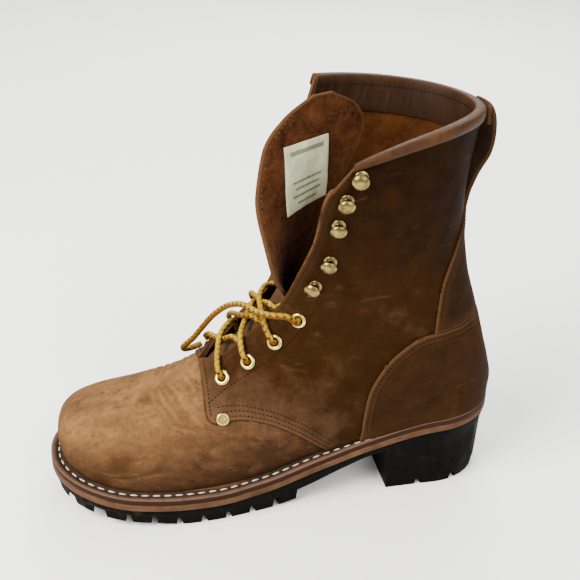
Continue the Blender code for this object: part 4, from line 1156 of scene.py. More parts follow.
def label_cloth():
    """Plain woven cloth with a few plain bars, on the label's own shares across and along."""
    finish = Finish("label_cloth", 0.85, specular=0.08)
    weave, soil = finish.grain(1900, 2.0, 0.6), finish.grain(60, 4.0, 0.65)
    colour = finish.ramp(soil, (0.3, tone(400, 400, 235)), (0.7, tone(660, 670, 450)))
    across, along = finish.mark("across"), finish.mark("along")
    bars = 0.0
    for low, high, reach in LABEL_BARS:
        level = finish.calc("COMPARE", along, (low + high) / 2, (high - low) / 2)
        bars = finish.calc("MAXIMUM", bars, finish.both(level, finish.calc("COMPARE", across, 0.5, reach)))
    faded = finish.both(bars, finish.span(weave, 0.35, 0.55, 0.45, 0.8))
    colour = finish.mix(faded, colour, tone(60, 58, 40))
    finish.raise_by(finish.grain(150, 3.0, 0.6, warp=1.5), 0.5, 1.2)
    finish.raise_by(weave, 0.35, 0.25)
    return finish.done(colour)


VAMP = vamp_leather()
SHAFT = shaft_leather("shaft_leather", tone(6, 2, 0.3), tone(19, 7, 1.3), tone(84, 44, 22))
COUNTER = shaft_leather("counter_leather", tone(7, 2.5, 0.6), tone(22, 8.5, 2.2), tone(75, 32, 11), 0.4)
BACKSTAY = shaft_leather("backstay_leather", tone(5, 2, 0.5), tone(15, 6, 1.6), tone(50, 22, 8), 0.3)
STRAP = shaft_leather("strap_leather", tone(26, 11, 4.5), tone(62, 29, 12), tone(130, 68, 32), 0.3)
LINING = suede("lining_suede", tone(20, 6, 1.3), tone(58, 20, 5), 0.8)
FLESH = suede("flesh_side", tone(22, 9, 3), tone(66, 29, 11), 0.7)
TONGUE_SUEDE = suede("tongue_suede", tone(12, 3, 0.7), tone(108, 38, 12.5), 1.8, tone(84, 37, 14),
                     foot_tone=tone(52, 26, 13))
RAW_EDGE = raw_edge()
BINDING = binding_leather()
WELT = welt_leather()
MIDSOLE = midsole_leather()
RUBBER = sole_rubber()
INSOLE = insole_leather()
BRASS = brass("brass", tone(320, 215, 48), tone(660, 500, 140), -5.0, 0.3)
HOOK_BRASS = brass("hook_brass", tone(42, 28, 8), tone(250, 180, 62), 1.2, 3.6)
LACE = lace_cord()
DARK_THREAD = thread("dark_thread", tone(3, 1.5, 0.6), tone(12, 5.5, 2.5))
WELT_THREAD = thread("welt_thread", tone(260, 240, 190), tone(520, 500, 430))
TONGUE_THREAD = thread("tongue_thread", tone(60, 28, 10), tone(130, 70, 30))
TIP = thread("lace_tip_film", tone(120, 52, 9), tone(210, 105, 22))
LABEL = label_cloth()

# The camera at the photograph's angle
CAMERA_PLACE = Vector((-114.66, -557.88, 460.19))
CAMERA_YAW, CAMERA_PITCH, CAMERA_ROLL = math.radians(12.46), math.radians(28.51), math.radians(1.95)
FOCAL_PIXELS, IMAGE_PIXELS = 966.9, 580.0
SENSOR = 36.0


def make_camera():
    level_reach = math.cos(CAMERA_PITCH)
    forward = Vector((
        math.sin(CAMERA_YAW) * level_reach, math.cos(CAMERA_YAW) * level_reach, -math.sin(CAMERA_PITCH),
    ))
    level = forward.cross(Vector((0, 0, 1))).normalized()
    up = level.cross(forward)
    right = level * math.cos(CAMERA_ROLL) + up * math.sin(CAMERA_ROLL)
    top = up * math.cos(CAMERA_ROLL) - level * math.sin(CAMERA_ROLL)
    data = bpy.data.cameras.new("camera")
    data.sensor_width = SENSOR
    data.lens = FOCAL_PIXELS / IMAGE_PIXELS * SENSOR
    camera = bpy.data.objects.new("camera", data)
    turn = Matrix((right, top, -forward)).transposed().to_4x4()
    camera.matrix_world = Matrix.Translation(in_frame(CAMERA_PLACE)) @ turn
    bpy.context.scene.collection.objects.link(camera)
    bpy.context.scene.camera = camera


# Lace

LACE_DIVE = 3.4
LACE_UNDER_WALL = 0.6
LACE_OUT = 1.6
LACE_SINK = 0.8
STRAND_LEAD = 0.2
LACE_SLIM = 0.15
TAIL_SEAT = 0.3
TIP_POINTS = 9
TIP_SKIN = 0.12
CORD_SMOOTH = 70.0


def eyelet_run(place):
    """Points of a lace that comes up through an eyelet."""
    u, v, side = place
    offsets = (-UPPER_WALL - LACE_DIVE, -UPPER_WALL - LACE_UNDER_WALL, QUARTER_STEP + LACE_OUT)
    return [upper_point(u, v, side, offset) for offset in offsets]


def crossing_run(place, next_place, lift):
    """A strand from one eyelet over the facing's edge, across the throat and under the other facing."""
    u, v, side = place
    far_u, far_v, far_side = next_place
    radius = LACE_DIAMETER / 2
    over_eyelet = QUARTER_STEP + HARDWARE_LIFT + EYELET_HEIGHT + radius + LACE_CLEARANCE
    over_edge = QUARTER_STEP + radius + LACE_CLEARANCE
    under = -UPPER_WALL - radius - LACE_SINK
    row = u + STRAND_LEAD
    return [
        upper_point(u + 0.02, v * 0.86, side, over_eyelet - 0.2),
        upper_point(u + 0.05, v * 0.6, side, over_eyelet),
        upper_point(row, 0.0, side, over_edge + 0.3),
        throat_point(row + STRAND_ROW_STEP / 2, 0.0, over_edge + lift),
        throat_point(row + STRAND_ROW_STEP, far_side * STRAND_REACH, over_edge - 0.8 + lift * 0.4),
        throat_point(row + STRAND_ROW_STEP * 1.1, far_side * 0.86, over_edge - 4.5),
        upper_point(far_u, far_v * 0.25, far_side, under),
        upper_point(far_u, far_v * 0.65, far_side, under - 0.4),
    ]


def make_lace():
    """Two halves laced from the toe up, each diving under the far facing, and one free strand."""
    lateral, medial = eyelet_places(LATERAL), eyelet_places(MEDIAL)
    halves = (
        ("lace_half_a", (lateral, medial), 1.9, ("lace_cross_1", "lace_cross_3")),
        ("lace_half_b", (medial, lateral), -1.5, ("lace_cross_2",)),
    )
    for name, sides, lift, stands_for in halves:
        order = [sides[k % 2][k] for k in range(EYELET_COUNT)]
        points = []
        for k, place in enumerate(order):
            points += eyelet_run(place)
            if k + 1 < len(order):
                points += crossing_run(place, order[k + 1], lift)
        shape = swept(tube_rings(smooth_path(points, 5), LACE_DIAMETER / 2 - LACE_SLIM, 10))
        finish_piece(shape, name, [LACE], stands_for, smooth_angle=CORD_SMOOTH)
    u, v = lateral[-1][:2]
    in_eyelet = QUARTER_STEP + HARDWARE_LIFT + TAIL_SEAT
    over_eyelet = in_eyelet + EYELET_HEIGHT + LACE_DIAMETER / 2 + LACE_CLEARANCE
    start = [upper_point(u, v, LATERAL, offset) for offset in (in_eyelet, over_eyelet)]
    path = smooth_path(start + list(TAIL_ROWS), 6)
    shape = swept(tube_rings(path, LACE_DIAMETER / 2, 12))
    tail = finish_piece(shape, "lace_tail_cord", [LACE], ("lace_tail",),
                        smooth_angle=CORD_SMOOTH)
    shape = swept(tube_rings(path[-TIP_POINTS:], LACE_DIAMETER / 2 + TIP_SKIN, 14))
    tip = finish_piece(shape, "lace_tip", [TIP], rounding=0.3, smooth_angle=50)


# Upper pieces

BODY_ROWS = steps_between((0, 6.2, 52), (6.2, 9.2, 66), (9.2, 24, 84))
BODY_SHARES = steps_between((0.0, 0.3, 22), (0.3, 1.0, 38))
QUARTER_ROWS = steps_between((8.9, 12, 34), (12, 23.968, 74))
QUARTER_FRONT = 0.006
COUNTER_ROWS = steps_between((10.6, 21, 84))
COUNTER_SHARES = steps_between((0.30, 1.0, 56))
BACKSTAY_ROWS = steps_between((16.5, 23, 66))
BACKSTAY_SHARES = steps_between((0.45, 1.0, 50))
# A quarter's wall stops short of the vamp, and an overlay's wall reaches into the gap under it
QUARTER_SLIM = 0.1
OVERLAY_SEAT = 0.2


def eyelet_holes():
    return [surface(*place) for side in SIDES for place in eyelet_places(side)]


def make_upper():
    """The vamp and the shaft's lining wall, with the quarters sewn over it."""
    quarter_outline = cut_outline(QUARTER_EDGE, QUARTER_REST)
    wall = panel(BODY_ROWS, BODY_SHARES, 0.0, holes=eyelet_holes(), under=quarter_outline)
    finish_piece(wall, "vamp_and_wall", [VAMP, LINING, RAW_EDGE], ("upper",),
                 wall=UPPER_WALL, rounding=0.3)
    shares = [QUARTER_FRONT + (1 - QUARTER_FRONT) * v for v in BODY_SHARES]
    quarters = panel(QUARTER_ROWS, shares, QUARTER_STEP, quarter_outline, eyelet_holes())
    finish_piece(quarters, "quarters", [SHAFT, FLESH, RAW_EDGE], ("upper",),
                 wall=QUARTER_STEP - QUARTER_SLIM, rounding=0.35)


def make_overlays():
    """The heel counter and the backstay, sewn over the quarters."""
    near = QUARTER_STEP + OVERLAY_GAP
    counter = panel(COUNTER_ROWS, COUNTER_SHARES, near + COUNTER_THICKNESS,
                    cut_outline(COUNTER_EDGE, COUNTER_REST))
    finish_piece(counter, "heel_counter", [COUNTER, FLESH, RAW_EDGE], ("counter",),
                 wall=COUNTER_THICKNESS + OVERLAY_SEAT, rounding=0.4)
    stay = panel(BACKSTAY_ROWS, BACKSTAY_SHARES, near + BACKSTAY_THICKNESS,
                 cut_outline(BACKSTAY_EDGE, BACKSTAY_REST))
    finish_piece(stay, "back_stay", [BACKSTAY, FLESH, RAW_EDGE], ("backstay",),
                 wall=BACKSTAY_THICKNESS + OVERLAY_SEAT, rounding=0.35)


BINDING_STEPS = 110
BINDING_RISE = 0.5
BINDING_ROUND = 1.6
BINDING_TURNS = 8
BINDING_FRONT = 0.004
GATHER_DEPTH = 0.35
GATHER_WRINKLE = 0.55
GATHER_PITCH = 2.6


def make_binding():
    """A strip folded over the collar, smooth outside and gathered in fine upright wrinkles inside."""
    top = float(ROW["collar"])
    outer_leg = top - 0.25
    inner_leg = float(ROW["band_edge"])
    out_near = QUARTER_STEP + OVERLAY_GAP
    out_far = out_near + BINDING_THICKNESS
    in_near = -UPPER_WALL - OVERLAY_GAP
    in_far = in_near - BINDING_THICKNESS
    middle, reach = (out_far + in_far) / 2, (out_far - in_far) / 2
    profile = [
        (outer_leg, out_near, 0.0, 0.0), (outer_leg, out_far - 0.5, 0.0, 0.0),
        (outer_leg + 0.03, out_far, 0.0, 0.0), (top - 0.10, out_far + 0.25, 0.2, 0.0),
    ]
    for k in range(BINDING_TURNS + 1):
        angle = math.pi * k / BINDING_TURNS
        lift = BINDING_RISE + BINDING_ROUND * math.sin(angle)
        profile.append((top, middle + reach * math.cos(angle), lift, 0.1))
    for k in range(1, BINDING_TURNS):
        share = k / BINDING_TURNS
        swell = math.sin(math.pi * share)
        profile.append((top - (top - inner_leg) * share, in_far - 0.5 * swell, 0.0, swell))
    profile += [
        (inner_leg, in_far + 0.2, 0.0, 0.0), (inner_leg, in_near, 0.0, 0.0),
        (top - 0.1, in_near, 0.0, 0.0), (top - 0.1, out_near, 0.0, 0.0),
    ]

    def ring(v, side):
        points = []
        place = surface(top, v, side)
        for u, offset, lift, gather in profile:
            spot = Vector((place.x / GATHER_PITCH, place.y / GATHER_PITCH, u * 0.35))
            wrinkle = GATHER_WRINKLE * noise.noise(spot)
            out = offset - gather * (GATHER_DEPTH + wrinkle) + relief(u, v, side)
            points.append(upper_point(u, clamp(v, BINDING_FRONT, 1.0), side, out) + Vector((0, 0, lift)))
        return points

    shares = [k / BINDING_STEPS for k in range(BINDING_STEPS + 1)]
    rings = [ring(v, LATERAL) for v in shares] + [ring(v, MEDIAL) for v in reversed(shares[:-1])]
    finish_piece(swept(rings), "collar_strip", [BINDING], ("collar_binding",),
                 smooth_angle=60)


# The tongue's soft waves as (height, size), the row from which they grow, its length, and the row it faces by
TONGUE_BUMPS = ((1.1, 26), (1.6, 60))
TONGUE_WAVE_FROM = 4.5
TONGUE_LENGTH = 280
TONGUE_FACE_ROW = 7.0


def tongue_frame(a):
    """The tongue's middle point, width direction, outward direction, half widths and curl at row a."""
    def value(name, at):
        return by_row(TONGUE_COLUMNS, TONGUE_ROWS, name, at)

    def middle(at):
        return Vector((value("x", at), value("y", at), value("z", at)))

    turn = math.radians(value("turn", a))
    across = Vector((math.sin(turn), math.cos(turn), 0.0))
    last = len(TONGUE_ROWS) - 1
    along = middle(min(a + 0.05, last)) - middle(max(a - 0.05, 0))
    outward = along.cross(across).normalized()
    halves = {LATERAL: value("lateral_half", a), MEDIAL: value("medial_half", a)}
    return middle(a), across, outward, halves, value("curl", a)


def tongue_point(a, share, offset=0.0):
    """A point of the tongue at row a, with share from -1 on its lateral edge to 1 on its medial one."""
    middle, across, outward, halves, curl = tongue_frame(a)
    half = halves[MEDIAL if share > 0 else LATERAL]
    point = middle + across * (half * share) - outward * (curl * share * share)
    wave = bumps(point, TONGUE_BUMPS) * smoothstep((a - TONGUE_WAVE_FROM) / 2)
    return point + outward * (offset + wave), half


def make_tongue():
    last = len(TONGUE_ROWS) - 1.0

    def point(across_share, along_share):
        a, share = last * along_share, across_share * 2 - 1
        place, half = tongue_point(a, share, TONGUE_THICKNESS / 2)
        return place, min((1 - abs(share)) * half, (1 - along_share) * TONGUE_LENGTH)

    shape = grid_sheet(44, 150, point)
    outward = tongue_frame(TONGUE_FACE_ROW)[2]
    face_along(shape, lambda place: outward)
    finish_piece(shape, "tongue_leather", [TONGUE_SUEDE, TONGUE_SUEDE, RAW_EDGE], ("tongue",),
                 wall=TONGUE_THICKNESS, rounding=0.5)


# The label's corners on the tongue as (row, millimetres across), and how far it stands off the face
LABEL_TOP = ((8.0, -28.2), (8.1, 8.8))
LABEL_FOOT = ((6.3, -14.5), (6.45, 22.5))
LABEL_LIFT = 0.5
LABEL_FACE_ROW = 7.2
LABEL_PUFF = 0.35
LABEL_CRUMPLE = 0.25


def make_label():
    """A cloth label sewn to the tongue's inner face, with its edges turned under."""
    shape = bmesh.new()
    marks = {name: shape.verts.layers.float.new(name) for name in ("across", "along")}
    made = bmesh.ops.create_grid(shape, x_segments=24, y_segments=30, size=1.0)
    for vert in made["verts"]:
        s, t = (vert.co.x + 1) / 2, (vert.co.y + 1) / 2
        row, across = (
            (top_a + (top_b - top_a) * s) * (1 - t) + (foot_a + (foot_b - foot_a) * s) * t
            for top_a, top_b, foot_a, foot_b in zip(*LABEL_TOP, *LABEL_FOOT)
        )
        halves = tongue_frame(row)[3]
        share = across / halves[MEDIAL if across > 0 else LATERAL]
        rim = min(s, 1 - s, t, 1 - t)
        puff = LABEL_PUFF * smoothstep(rim * 14) + LABEL_CRUMPLE * noise.noise(Vector((s * 6, t * 7, 1.7)))
        vert.co = tongue_point(row, share, -TONGUE_THICKNESS / 2 - LABEL_LIFT - puff)[0]
        vert[marks["across"]] = s
        vert[marks["along"]] = t
    outward = tongue_frame(LABEL_FACE_ROW)[2]
    face_along(shape, lambda place: -outward)
    finish_piece(shape, "tongue_label", [LABEL], wall=LABEL_LIFT, rounding=0.12)


LOOP_HEART = Vector((128.0, 0.0, 250.0))
LOOP_WAVE = 0.5
LOOP_WAVE_SIZE = 12


def make_pull_loop():
    """A strap bent out from the collar's back, with its foot sewn under the backstay."""
    last = len(LOOP_PATH) - 1

    def line(t):
        return [smooth_curve(range(last + 1), [corner[k] for corner in LOOP_PATH], t) for k in (0, 1)]

    def point(across_share, along_share):
        t, step = along_share * last, 0.1
        x, z = line(t)
        before, after = line(max(t - step, 0)), line(min(t + step, last))
        out = Vector((after[1] - before[1], 0, before[0] - after[0])).normalized() * -1
        y = (across_share - 0.5) * LOOP_WIDTH
        wave = LOOP_WAVE * noise.noise(Vector((x, y, z)) / LOOP_WAVE_SIZE)
        cup = LOOP_CUP * (2 * y / LOOP_WIDTH) ** 2 * smoothstep(along_share * 4)
        snug = y * y / (2 * SHAFT_BACK_RADIUS) * smoothstep(along_share * 2 - 1)
        place = Vector((x - max(cup, snug), y, z))
        return place + out * (LOOP_THICKNESS / 2 + wave), LOOP_WIDTH / 2 - abs(y)

    shape = grid_sheet(14, 70, point)
    face_along(shape, lambda place: place - LOOP_HEART)
    finish_piece(shape, "pull_strap", [STRAP, FLESH, BACKSTAY], ("pull_loop",),
                 wall=LOOP_THICKNESS, rounding=0.4)


# Hardware

EYELET_PROFILE = (
    (2.7, -4.6), (2.7, 0.7), (2.85, 1.15), (3.4, 1.45), (4.2, 1.4), (4.95, 1.0), (5.4, 0.35), (5.4, 0.0),
    (5.0, -0.2), (3.1, -0.3), (3.1, -4.6),
)
HOOK_BASE = (
    (0.0, 0.0), (4.3, 0.0), (4.4, 0.3), (4.1, 0.7), (3.2, 1.0), (2.4, 1.4), (2.2, 2.4), (2.3, 3.6),
    (0.0, 3.7),
)
HOOK_CAP = (
    (0.0, 3.3), (3.2, 3.3), (4.9, 3.5), (5.35, 3.9), (5.4, 4.4), (5.1, 5.1), (4.4, 5.9), (3.2, 6.7),
    (1.7, 7.15), (0.0, 7.3),
)
RIVET_PROFILE = (
    (0.0, -0.5), (4.4, -0.5), (4.6, 0.0), (4.3, 0.5), (3.4, 0.9), (2.2, 0.7), (1.2, 0.95), (0.0, 1.1),
)
HARDWARE_SEAT = QUARTER_STEP + 0.25
HOOK_BASE_SHIFT = Matrix.Translation((0.5, 0, 0))
HOOK_CAP_LEAN = Matrix.Translation((-0.8, 0, 0.0)) @ Matrix.Rotation(math.radians(-9), 4, "Y")


def seat(place):
    """Where a metal piece stands on the quarter's uneven face."""
    return standing_on(*place, HARDWARE_SEAT + relief(*place))


def make_hardware():
    eyelets, hooks, rivets = bmesh.new(), bmesh.new(), bmesh.new()
    for side in SIDES:
        for place in eyelet_places(side):
            turned(eyelets, EYELET_PROFILE, seat(place), 32, ring=True)
        for place in hook_places(side):
            turned(hooks, HOOK_BASE, seat(place) @ HOOK_BASE_SHIFT, 24)
            turned(hooks, HOOK_CAP, seat(place) @ HOOK_CAP_LEAN, 28)
        turned(rivets, RIVET_PROFILE, seat((*RIVET_PLACE, side)), 24)
    names = [SIDE_NAMES[side] for side in SIDES]
    finish_piece(eyelets, "eyelets", [BRASS],
                 [f"eyelet_{name}_{k + 1}" for name in names for k in range(EYELET_COUNT)], smooth_angle=60)
    finish_piece(hooks, "lace_hooks", [HOOK_BRASS],
                 [f"hook_{name}_{k + 1}" for name in names for k in range(len(HOOK_ROWS))], smooth_angle=60)
    finish_piece(rivets, "rivets", [BRASS], ["rivet_" + name for name in names], smooth_angle=60)


# Sole pieces

SOLE_STEPS = 110
WELT_TUCK = 1.4
# Rings of the welt, over the stitching groove and the lip to its foot, and of the midsole, as (how far in
# from the sole's edge, how far below the top)
WELT_RINGS = (
    (6.6, 0.0), (6.1, 0.45), (5.2, 0.45), (4.6, 0.0), (1.5, 0.0), (0.8, -0.05), (0.3, 0.35), (0.0, 0.9),
    (0.0, WELT_THICKNESS - 0.9), (0.25, WELT_THICKNESS - 0.3), (0.7, WELT_THICKNESS),
)
MIDSOLE_RINGS = (
    (3.0, 0.0), (0.7, 0.0), (0.15, 0.35), (0.0, 1.0), (0.0, MIDSOLE_THICKNESS / 2),
    (0.0, MIDSOLE_THICKNESS - 1.0), (0.15, MIDSOLE_THICKNESS - 0.35), (0.7, MIDSOLE_THICKNESS),
    (3.0, MIDSOLE_THICKNESS),
)
SOLID_SMOOTH = 32.0
SOLID_WELD = 0.01


def sole_ring(extra, drop, toe_inset=0, heel_inset=0):
    """A ring round the sole, this far in from its outline and this far below the welt's top."""
    points = outline(SOLE_STEPS, toe_inset, heel_inset, extra)
    return [Vector((x, y, welt_top(x) - drop)) for x, y in points]


def make_welt():
    """A strip under the upper's edge with a stitching groove, a raised lip and a rounded outside."""
    inside = UPPER_WALL + WELT_TUCK
    top, foot = (sole_ring(inside, drop, TOE_LEDGE, HEEL_LEDGE) for drop in (0.0, WELT_THICKNESS))
    rings = [top] + [sole_ring(extra, drop) for extra, drop in WELT_RINGS] + [foot]
    finish_piece(swept(rings, joined=True), "welt_strip", [WELT], ("welt",), smooth_angle=50)


def make_midsole():
    rings = [sole_ring(extra, WELT_THICKNESS + GAP + drop) for extra, drop in MIDSOLE_RINGS]
    finish_piece(swept(rings), "midsole_edge", [MIDSOLE], ("midsole",), smooth_angle=50)


def soft_shading():
    """A modifier's node group that shades a solid smoothly across its shallow corners."""
    group = bpy.data.node_groups.new("soft_shading", "GeometryNodeTree")
    for direction in ("INPUT", "OUTPUT"):
        group.interface.new_socket("Geometry", in_out=direction, socket_type="NodeSocketGeometry")
    start, end = group.nodes.new("NodeGroupInput"), group.nodes.new("NodeGroupOutput")
    weld = group.nodes.new("GeometryNodeMergeByDistance")
    weld.inputs["Distance"].default_value = SOLID_WELD * MM
    faces, edges = (group.nodes.new("GeometryNodeSetShadeSmooth") for _ in range(2))
    edges.domain = "EDGE"
    angle, shallow = group.nodes.new("GeometryNodeInputMeshEdgeAngle"), group.nodes.new("FunctionNodeCompare")
    shallow.operation = "LESS_THAN"
    shallow.inputs["B"].default_value = math.radians(SOLID_SMOOTH)
    group.links.new(angle.outputs["Unsigned Angle"], shallow.inputs["A"])
    group.links.new(shallow.outputs["Result"], edges.inputs["Shade Smooth"])
    chain = (start, weld, faces, edges, end)
    for before, after in zip(chain, chain[1:]):
        group.links.new(before.outputs["Geometry"], after.inputs["Geometry"])
    return group


def dress_solids():
    """The outsole and insole keep their solids and take a worn finish."""
    group = soft_shading()
    for name, finish in (("outsole", RUBBER), ("insole", INSOLE)):
        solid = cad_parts[name]
        solid.data.materials.clear()
        solid.data.materials.append(finish)
        solid.modifiers.new("soft_shading", "NODES").node_group = group


# Stitching

# Stitches as (pitch, length, width, height)
PANEL_STITCH = (2.7, 2.0, 0.75, 0.32)
COUNTER_STITCH = (2.8, 2.1, 1.0, 0.40)
FACING_STITCH = (2.7, 2.0, 0.7, 0.30)
COLLAR_STITCH = (3.0, 2.2, 0.8, 0.4)
TONGUE_STITCH = (3.4, 1.7, 0.7, 0.32)
WELT_STITCH = (7.6, 5.8, 1.25, 0.6)
THREAD_SMOOTH = 80.0
FIND_ROWS = (0.02, 23.9)
FIND_SHARES = (0.002, 0.985)
SEAM_MISS = 1.0
SEAM_JUMP = 12.0

# Seams: how far in from a panel's edge, and the shares of the edge that they run between
QUARTER_SEAMS = ((2.4, 0.10, 0.60), (5.6, 0.10, 0.60), (8.8, 0.10, 0.60), (2.4, 0.66, 0.93))
COUNTER_SEAMS = ((2.6, 0.12, 0.86), (6.2, 0.12, 0.86))
BACKSTAY_SEAMS = ((2.4, 0.14, 0.60),)
EYESTAY_LINE = ((-51.5, 84), (-38, 93.5), (-22, 105), (-7, 116.5), (5, 128), (13, 139), (18, 150), (22, 164))
FACING_SEAM_INSET = 3.2
COLLAR_SEAM_DROP = 0.2
COLLAR_SEAM_PROUD = 0.6
TONGUE_SEAM_INSET = 3.6
TONGUE_SEAM_PROUD = 0.1
WELT_SEAM_SINK = 0.2
WELT_SEAM_LEAST = 2.2
WELT_SEAM_FROM_UPPER = 3.3
WELT_SEAM_ENDS = (78, -145)
TOE_SEAM_STEPS = 40
TOE_SEAM_REACH = 13.0


def find_place(x, z, side, guess):
    """The place (u, v) on one side of the upper that has this side view, from a nearby guess."""
    u, v = guess
    step = SIDE_STEP
    for _ in range(8):
        here = surface(u, v, side)
        by_u, by_v = surface(u + step, v, side) - here, surface(u, v + step, side) - here
        det = (by_u.x * by_v.z - by_u.z * by_v.x) / step**2
        if abs(det) < 1e-6:
            break
        dx, dz = x - here.x, z - here.z
        u = clamp(u + (dx * by_v.z - dz * by_v.x) / step / det, *FIND_ROWS)
        v = clamp(v + (dz * by_u.x - dx * by_u.z) / step / det, *FIND_SHARES)
    return u, v


def nearest_place(x, z, side):
    tries = [(k * 0.5, j / 20) for k in range(8, 48) for j in range(1, 20)]
    return min(tries, key=lambda t: (surface(*t, side).x - x) ** 2 + (surface(*t, side).z - z) ** 2)


def seam_on_side(line, side, offset):
    """Points and normals of a seam given in side view, on the face of a panel at this offset."""
    guess = nearest_place(line[0][0], line[0][1], side)
    seam = []
    for x, z in line:
        guess = find_place(x, z, side, guess)
        here = surface(*guess, side)
        if math.hypot(here.x - x, here.z - z) > SEAM_MISS:
            continue
        out = normal(*guess, side)
        seam.append((here + out * (offset + relief(*guess, side)), out))
    return seam


def inset_line(edge, inset, first, last):
    """A panel's edge moved into the panel, in side view; the panel lies to the right of the edge's run."""
    path = side_line(edge, 10)
    line = []
    for k in range(int(len(path) * first), int(len(path) * last)):
        along = (path[min(k + 1, len(path) - 1)] - path[max(k - 1, 0)]).normalized()
        line.append((path[k].x + along.y * inset, path[k].y - along.x * inset))
    return line


def sew(shape, seam, stitch):
    """Set stitches along a seam of points and normals, and add the row to the rest of the thread."""
    pitch, length, width, height = stitch
    size = Matrix.Diagonal((length / 2, width / 2, height, 1.0))
    row = bmesh.new()
    gone, due = 0.0, pitch / 2
    for (a, out_a), (b, out_b) in zip(seam, seam[1:]):
        span = (b - a).length
        if span > SEAM_JUMP or span < 1e-6:
            continue
        along = (b - a) / span
        while due <= gone + span:
            t = (due - gone) / span
            out = out_a.lerp(out_b, t).normalized()
            across = out.cross(along).normalized()
            turn = Matrix((along, across, out)).transposed().to_4x4()
            bmesh.ops.create_uvsphere(row, u_segments=6, v_segments=4, radius=1.0,
                                      matrix=Matrix.Translation(a.lerp(b, t)) @ turn @ size)
            due += pitch
        gone += span
    thread_mesh = bpy.data.meshes.new("stitch_row")
    row.to_mesh(thread_mesh)
    row.free()
    shape.from_mesh(thread_mesh)
    bpy.data.meshes.remove(thread_mesh)


def sew_panels():
    """Dark thread along the edges of the panels, the facings and the collar."""
    dark = bmesh.new()
    near = QUARTER_STEP + OVERLAY_GAP
    edges = (
        (QUARTER_EDGE, QUARTER_SEAMS, QUARTER_STEP, PANEL_STITCH),
        (COUNTER_EDGE, COUNTER_SEAMS, near + COUNTER_THICKNESS, COUNTER_STITCH),
        (BACKSTAY_EDGE, BACKSTAY_SEAMS, near + BACKSTAY_THICKNESS, PANEL_STITCH),
    )
    collar_row = ROW["collar"] - COLLAR_SEAM_DROP
    collar_depth = -UPPER_WALL - OVERLAY_GAP - BINDING_THICKNESS - COLLAR_SEAM_PROUD
    for side in SIDES:
        for edge, seams, offset, stitch in edges:
            for inset, first, last in seams:
                sew(dark, seam_on_side(inset_line(edge, inset, first, last), side, offset), stitch)
        sew(dark, seam_on_side(side_line(EYESTAY_LINE, 8), side, QUARTER_STEP), PANEL_STITCH)
        seam = []
        for u in steps_between((9.7, 23.6, 120)):
            v = share_from_front(u, side, FACING_SEAM_INSET)
            seam.append((upper_point(u, v, side, QUARTER_STEP + relief(u, v, side)), normal(u, v, side)))
        sew(dark, seam, FACING_STITCH)
        seam = []
        for v in steps_between((0.02, 0.995, 150)):
            depth = collar_depth + relief(collar_row, v, side)
            seam.append((upper_point(collar_row, v, side, depth), -normal(collar_row, v, side)))
        sew(dark, seam, COLLAR_STITCH)
    finish_piece(dark, "panel_stitching", [DARK_THREAD], smooth_angle=THREAD_SMOOTH)


def sew_tongue():
    """Paler thread along the tongue's lateral edge."""
    light = bmesh.new()
    seam = []
    for row in steps_between((4.9, 9.2, 60)):
        _, _, outward, halves, _ = tongue_frame(row)
        share = -1 + TONGUE_SEAM_INSET / halves[LATERAL]
        seam.append((tongue_point(row, share, -TONGUE_THICKNESS / 2 - TONGUE_SEAM_PROUD)[0], -outward))
    sew(light, seam, TONGUE_STITCH)
    finish_piece(light, "tongue_stitching", [TONGUE_THREAD], smooth_angle=THREAD_SMOOTH)


def welt_seam_inset(x):
    """How far in from the sole's outer edge the white stitches lie: close to the upper."""
    return max(WELT_SEAM_LEAST, ledge(x) - WELT_SEAM_FROM_UPPER)


def welt_seam_point(x, side, inset):
    """A point of the welt's seam and the way up from it."""
    y = swing(x) + side * half_width(x, side, inset, inset, inset)
    return Vector((x, y, welt_top(x) - WELT_SEAM_SINK)), Vector((0, 0, 1))


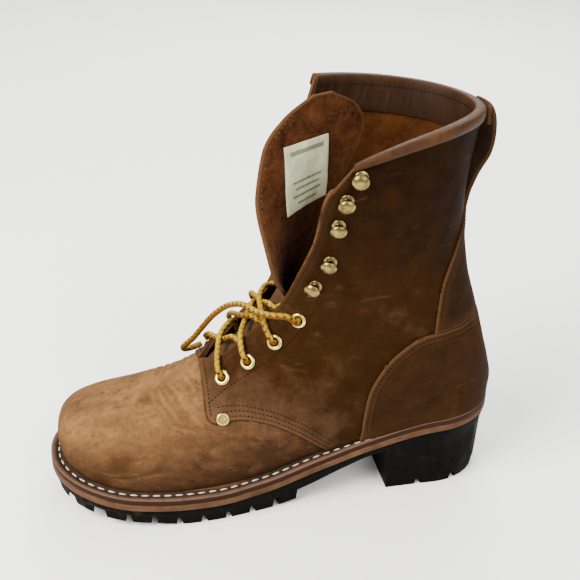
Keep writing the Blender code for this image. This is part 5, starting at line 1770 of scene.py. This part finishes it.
def sew_welt():
    """White thread along both sides of the welt and round its toe."""
    pale = bmesh.new()
    first, last = WELT_SEAM_ENDS
    for side in SIDES:
        seam = [welt_seam_point(x, side, welt_seam_inset(x)) for x in steps_between((first, last, 150))]
        sew(pale, seam, WELT_STITCH)
    inset = welt_seam_inset(last)
    seam = []
    for k in range(TOE_SEAM_STEPS + 1):
        angle = math.pi * (k / TOE_SEAM_STEPS - 0.5)
        x = last - (TOE_SEAM_REACH - inset) * math.cos(angle)
        seam.append(welt_seam_point(x, MEDIAL if angle > 0 else LATERAL, inset))
    sew(pale, seam, WELT_STITCH)
    finish_piece(pale, "welt_stitching", [WELT_THREAD], smooth_angle=THREAD_SMOOTH)


# Stage

FLOOR_HALF = 4.0
SKY_COLOUR = (1.0, 0.99, 0.97, 1.0)
SKY_STRENGTH = 1.1
LAMP_AIM = Vector((-0.03, 0.0, 0.10))
# Soft lamps as (name, place, size, power, colour)
LAMPS = (
    ("key", (-1.25, -0.55, 1.35), 1.1, 110.0, (1.0, 0.97, 0.93)),
    ("fill", (0.9, -1.3, 1.2), 1.4, 30.0, (1.0, 0.98, 0.96)),
    ("rim", (0.5, 1.3, 1.3), 1.2, 45.0, (1.0, 0.99, 0.98)),
)


def floor_paper():
    finish = Finish("floor_paper", 0.85, specular=0.2)
    colour = finish.ramp(finish.grain(3.0, 2.0), (0.3, tone(880, 880, 875)), (0.7, tone(900, 900, 896)))
    return finish.done(colour)


def make_stage():
    """A pale floor, an even sky and three soft lamps."""
    shape = bmesh.new()
    bmesh.ops.create_grid(shape, x_segments=1, y_segments=1, size=FLOOR_HALF)
    mesh = bpy.data.meshes.new("floor")
    shape.to_mesh(mesh)
    shape.free()
    mesh.materials.append(floor_paper())
    floor = bpy.data.objects.new("floor", mesh)
    bpy.context.scene.collection.objects.link(floor)
    world = bpy.data.worlds.new("studio")
    world.use_nodes = True
    sky = world.node_tree.nodes["Background"]
    sky.inputs["Color"].default_value = SKY_COLOUR
    sky.inputs["Strength"].default_value = SKY_STRENGTH
    bpy.context.scene.world = world
    for name, place, size, power, colour in LAMPS:
        data = bpy.data.lights.new(name, "AREA")
        data.size = size
        data.energy = power
        data.color = colour
        lamp = bpy.data.objects.new(name, data)
        lamp.location = place
        lamp.rotation_euler = (LAMP_AIM - Vector(place)).to_track_quat("-Z", "Y").to_euler()
        bpy.context.scene.collection.objects.link(lamp)


make_camera()
make_lace()
make_upper()
make_overlays()
make_binding()
make_tongue()
make_label()
make_pull_loop()
make_hardware()
make_welt()
make_midsole()
dress_solids()
sew_panels()
sew_tongue()
sew_welt()
make_stage()
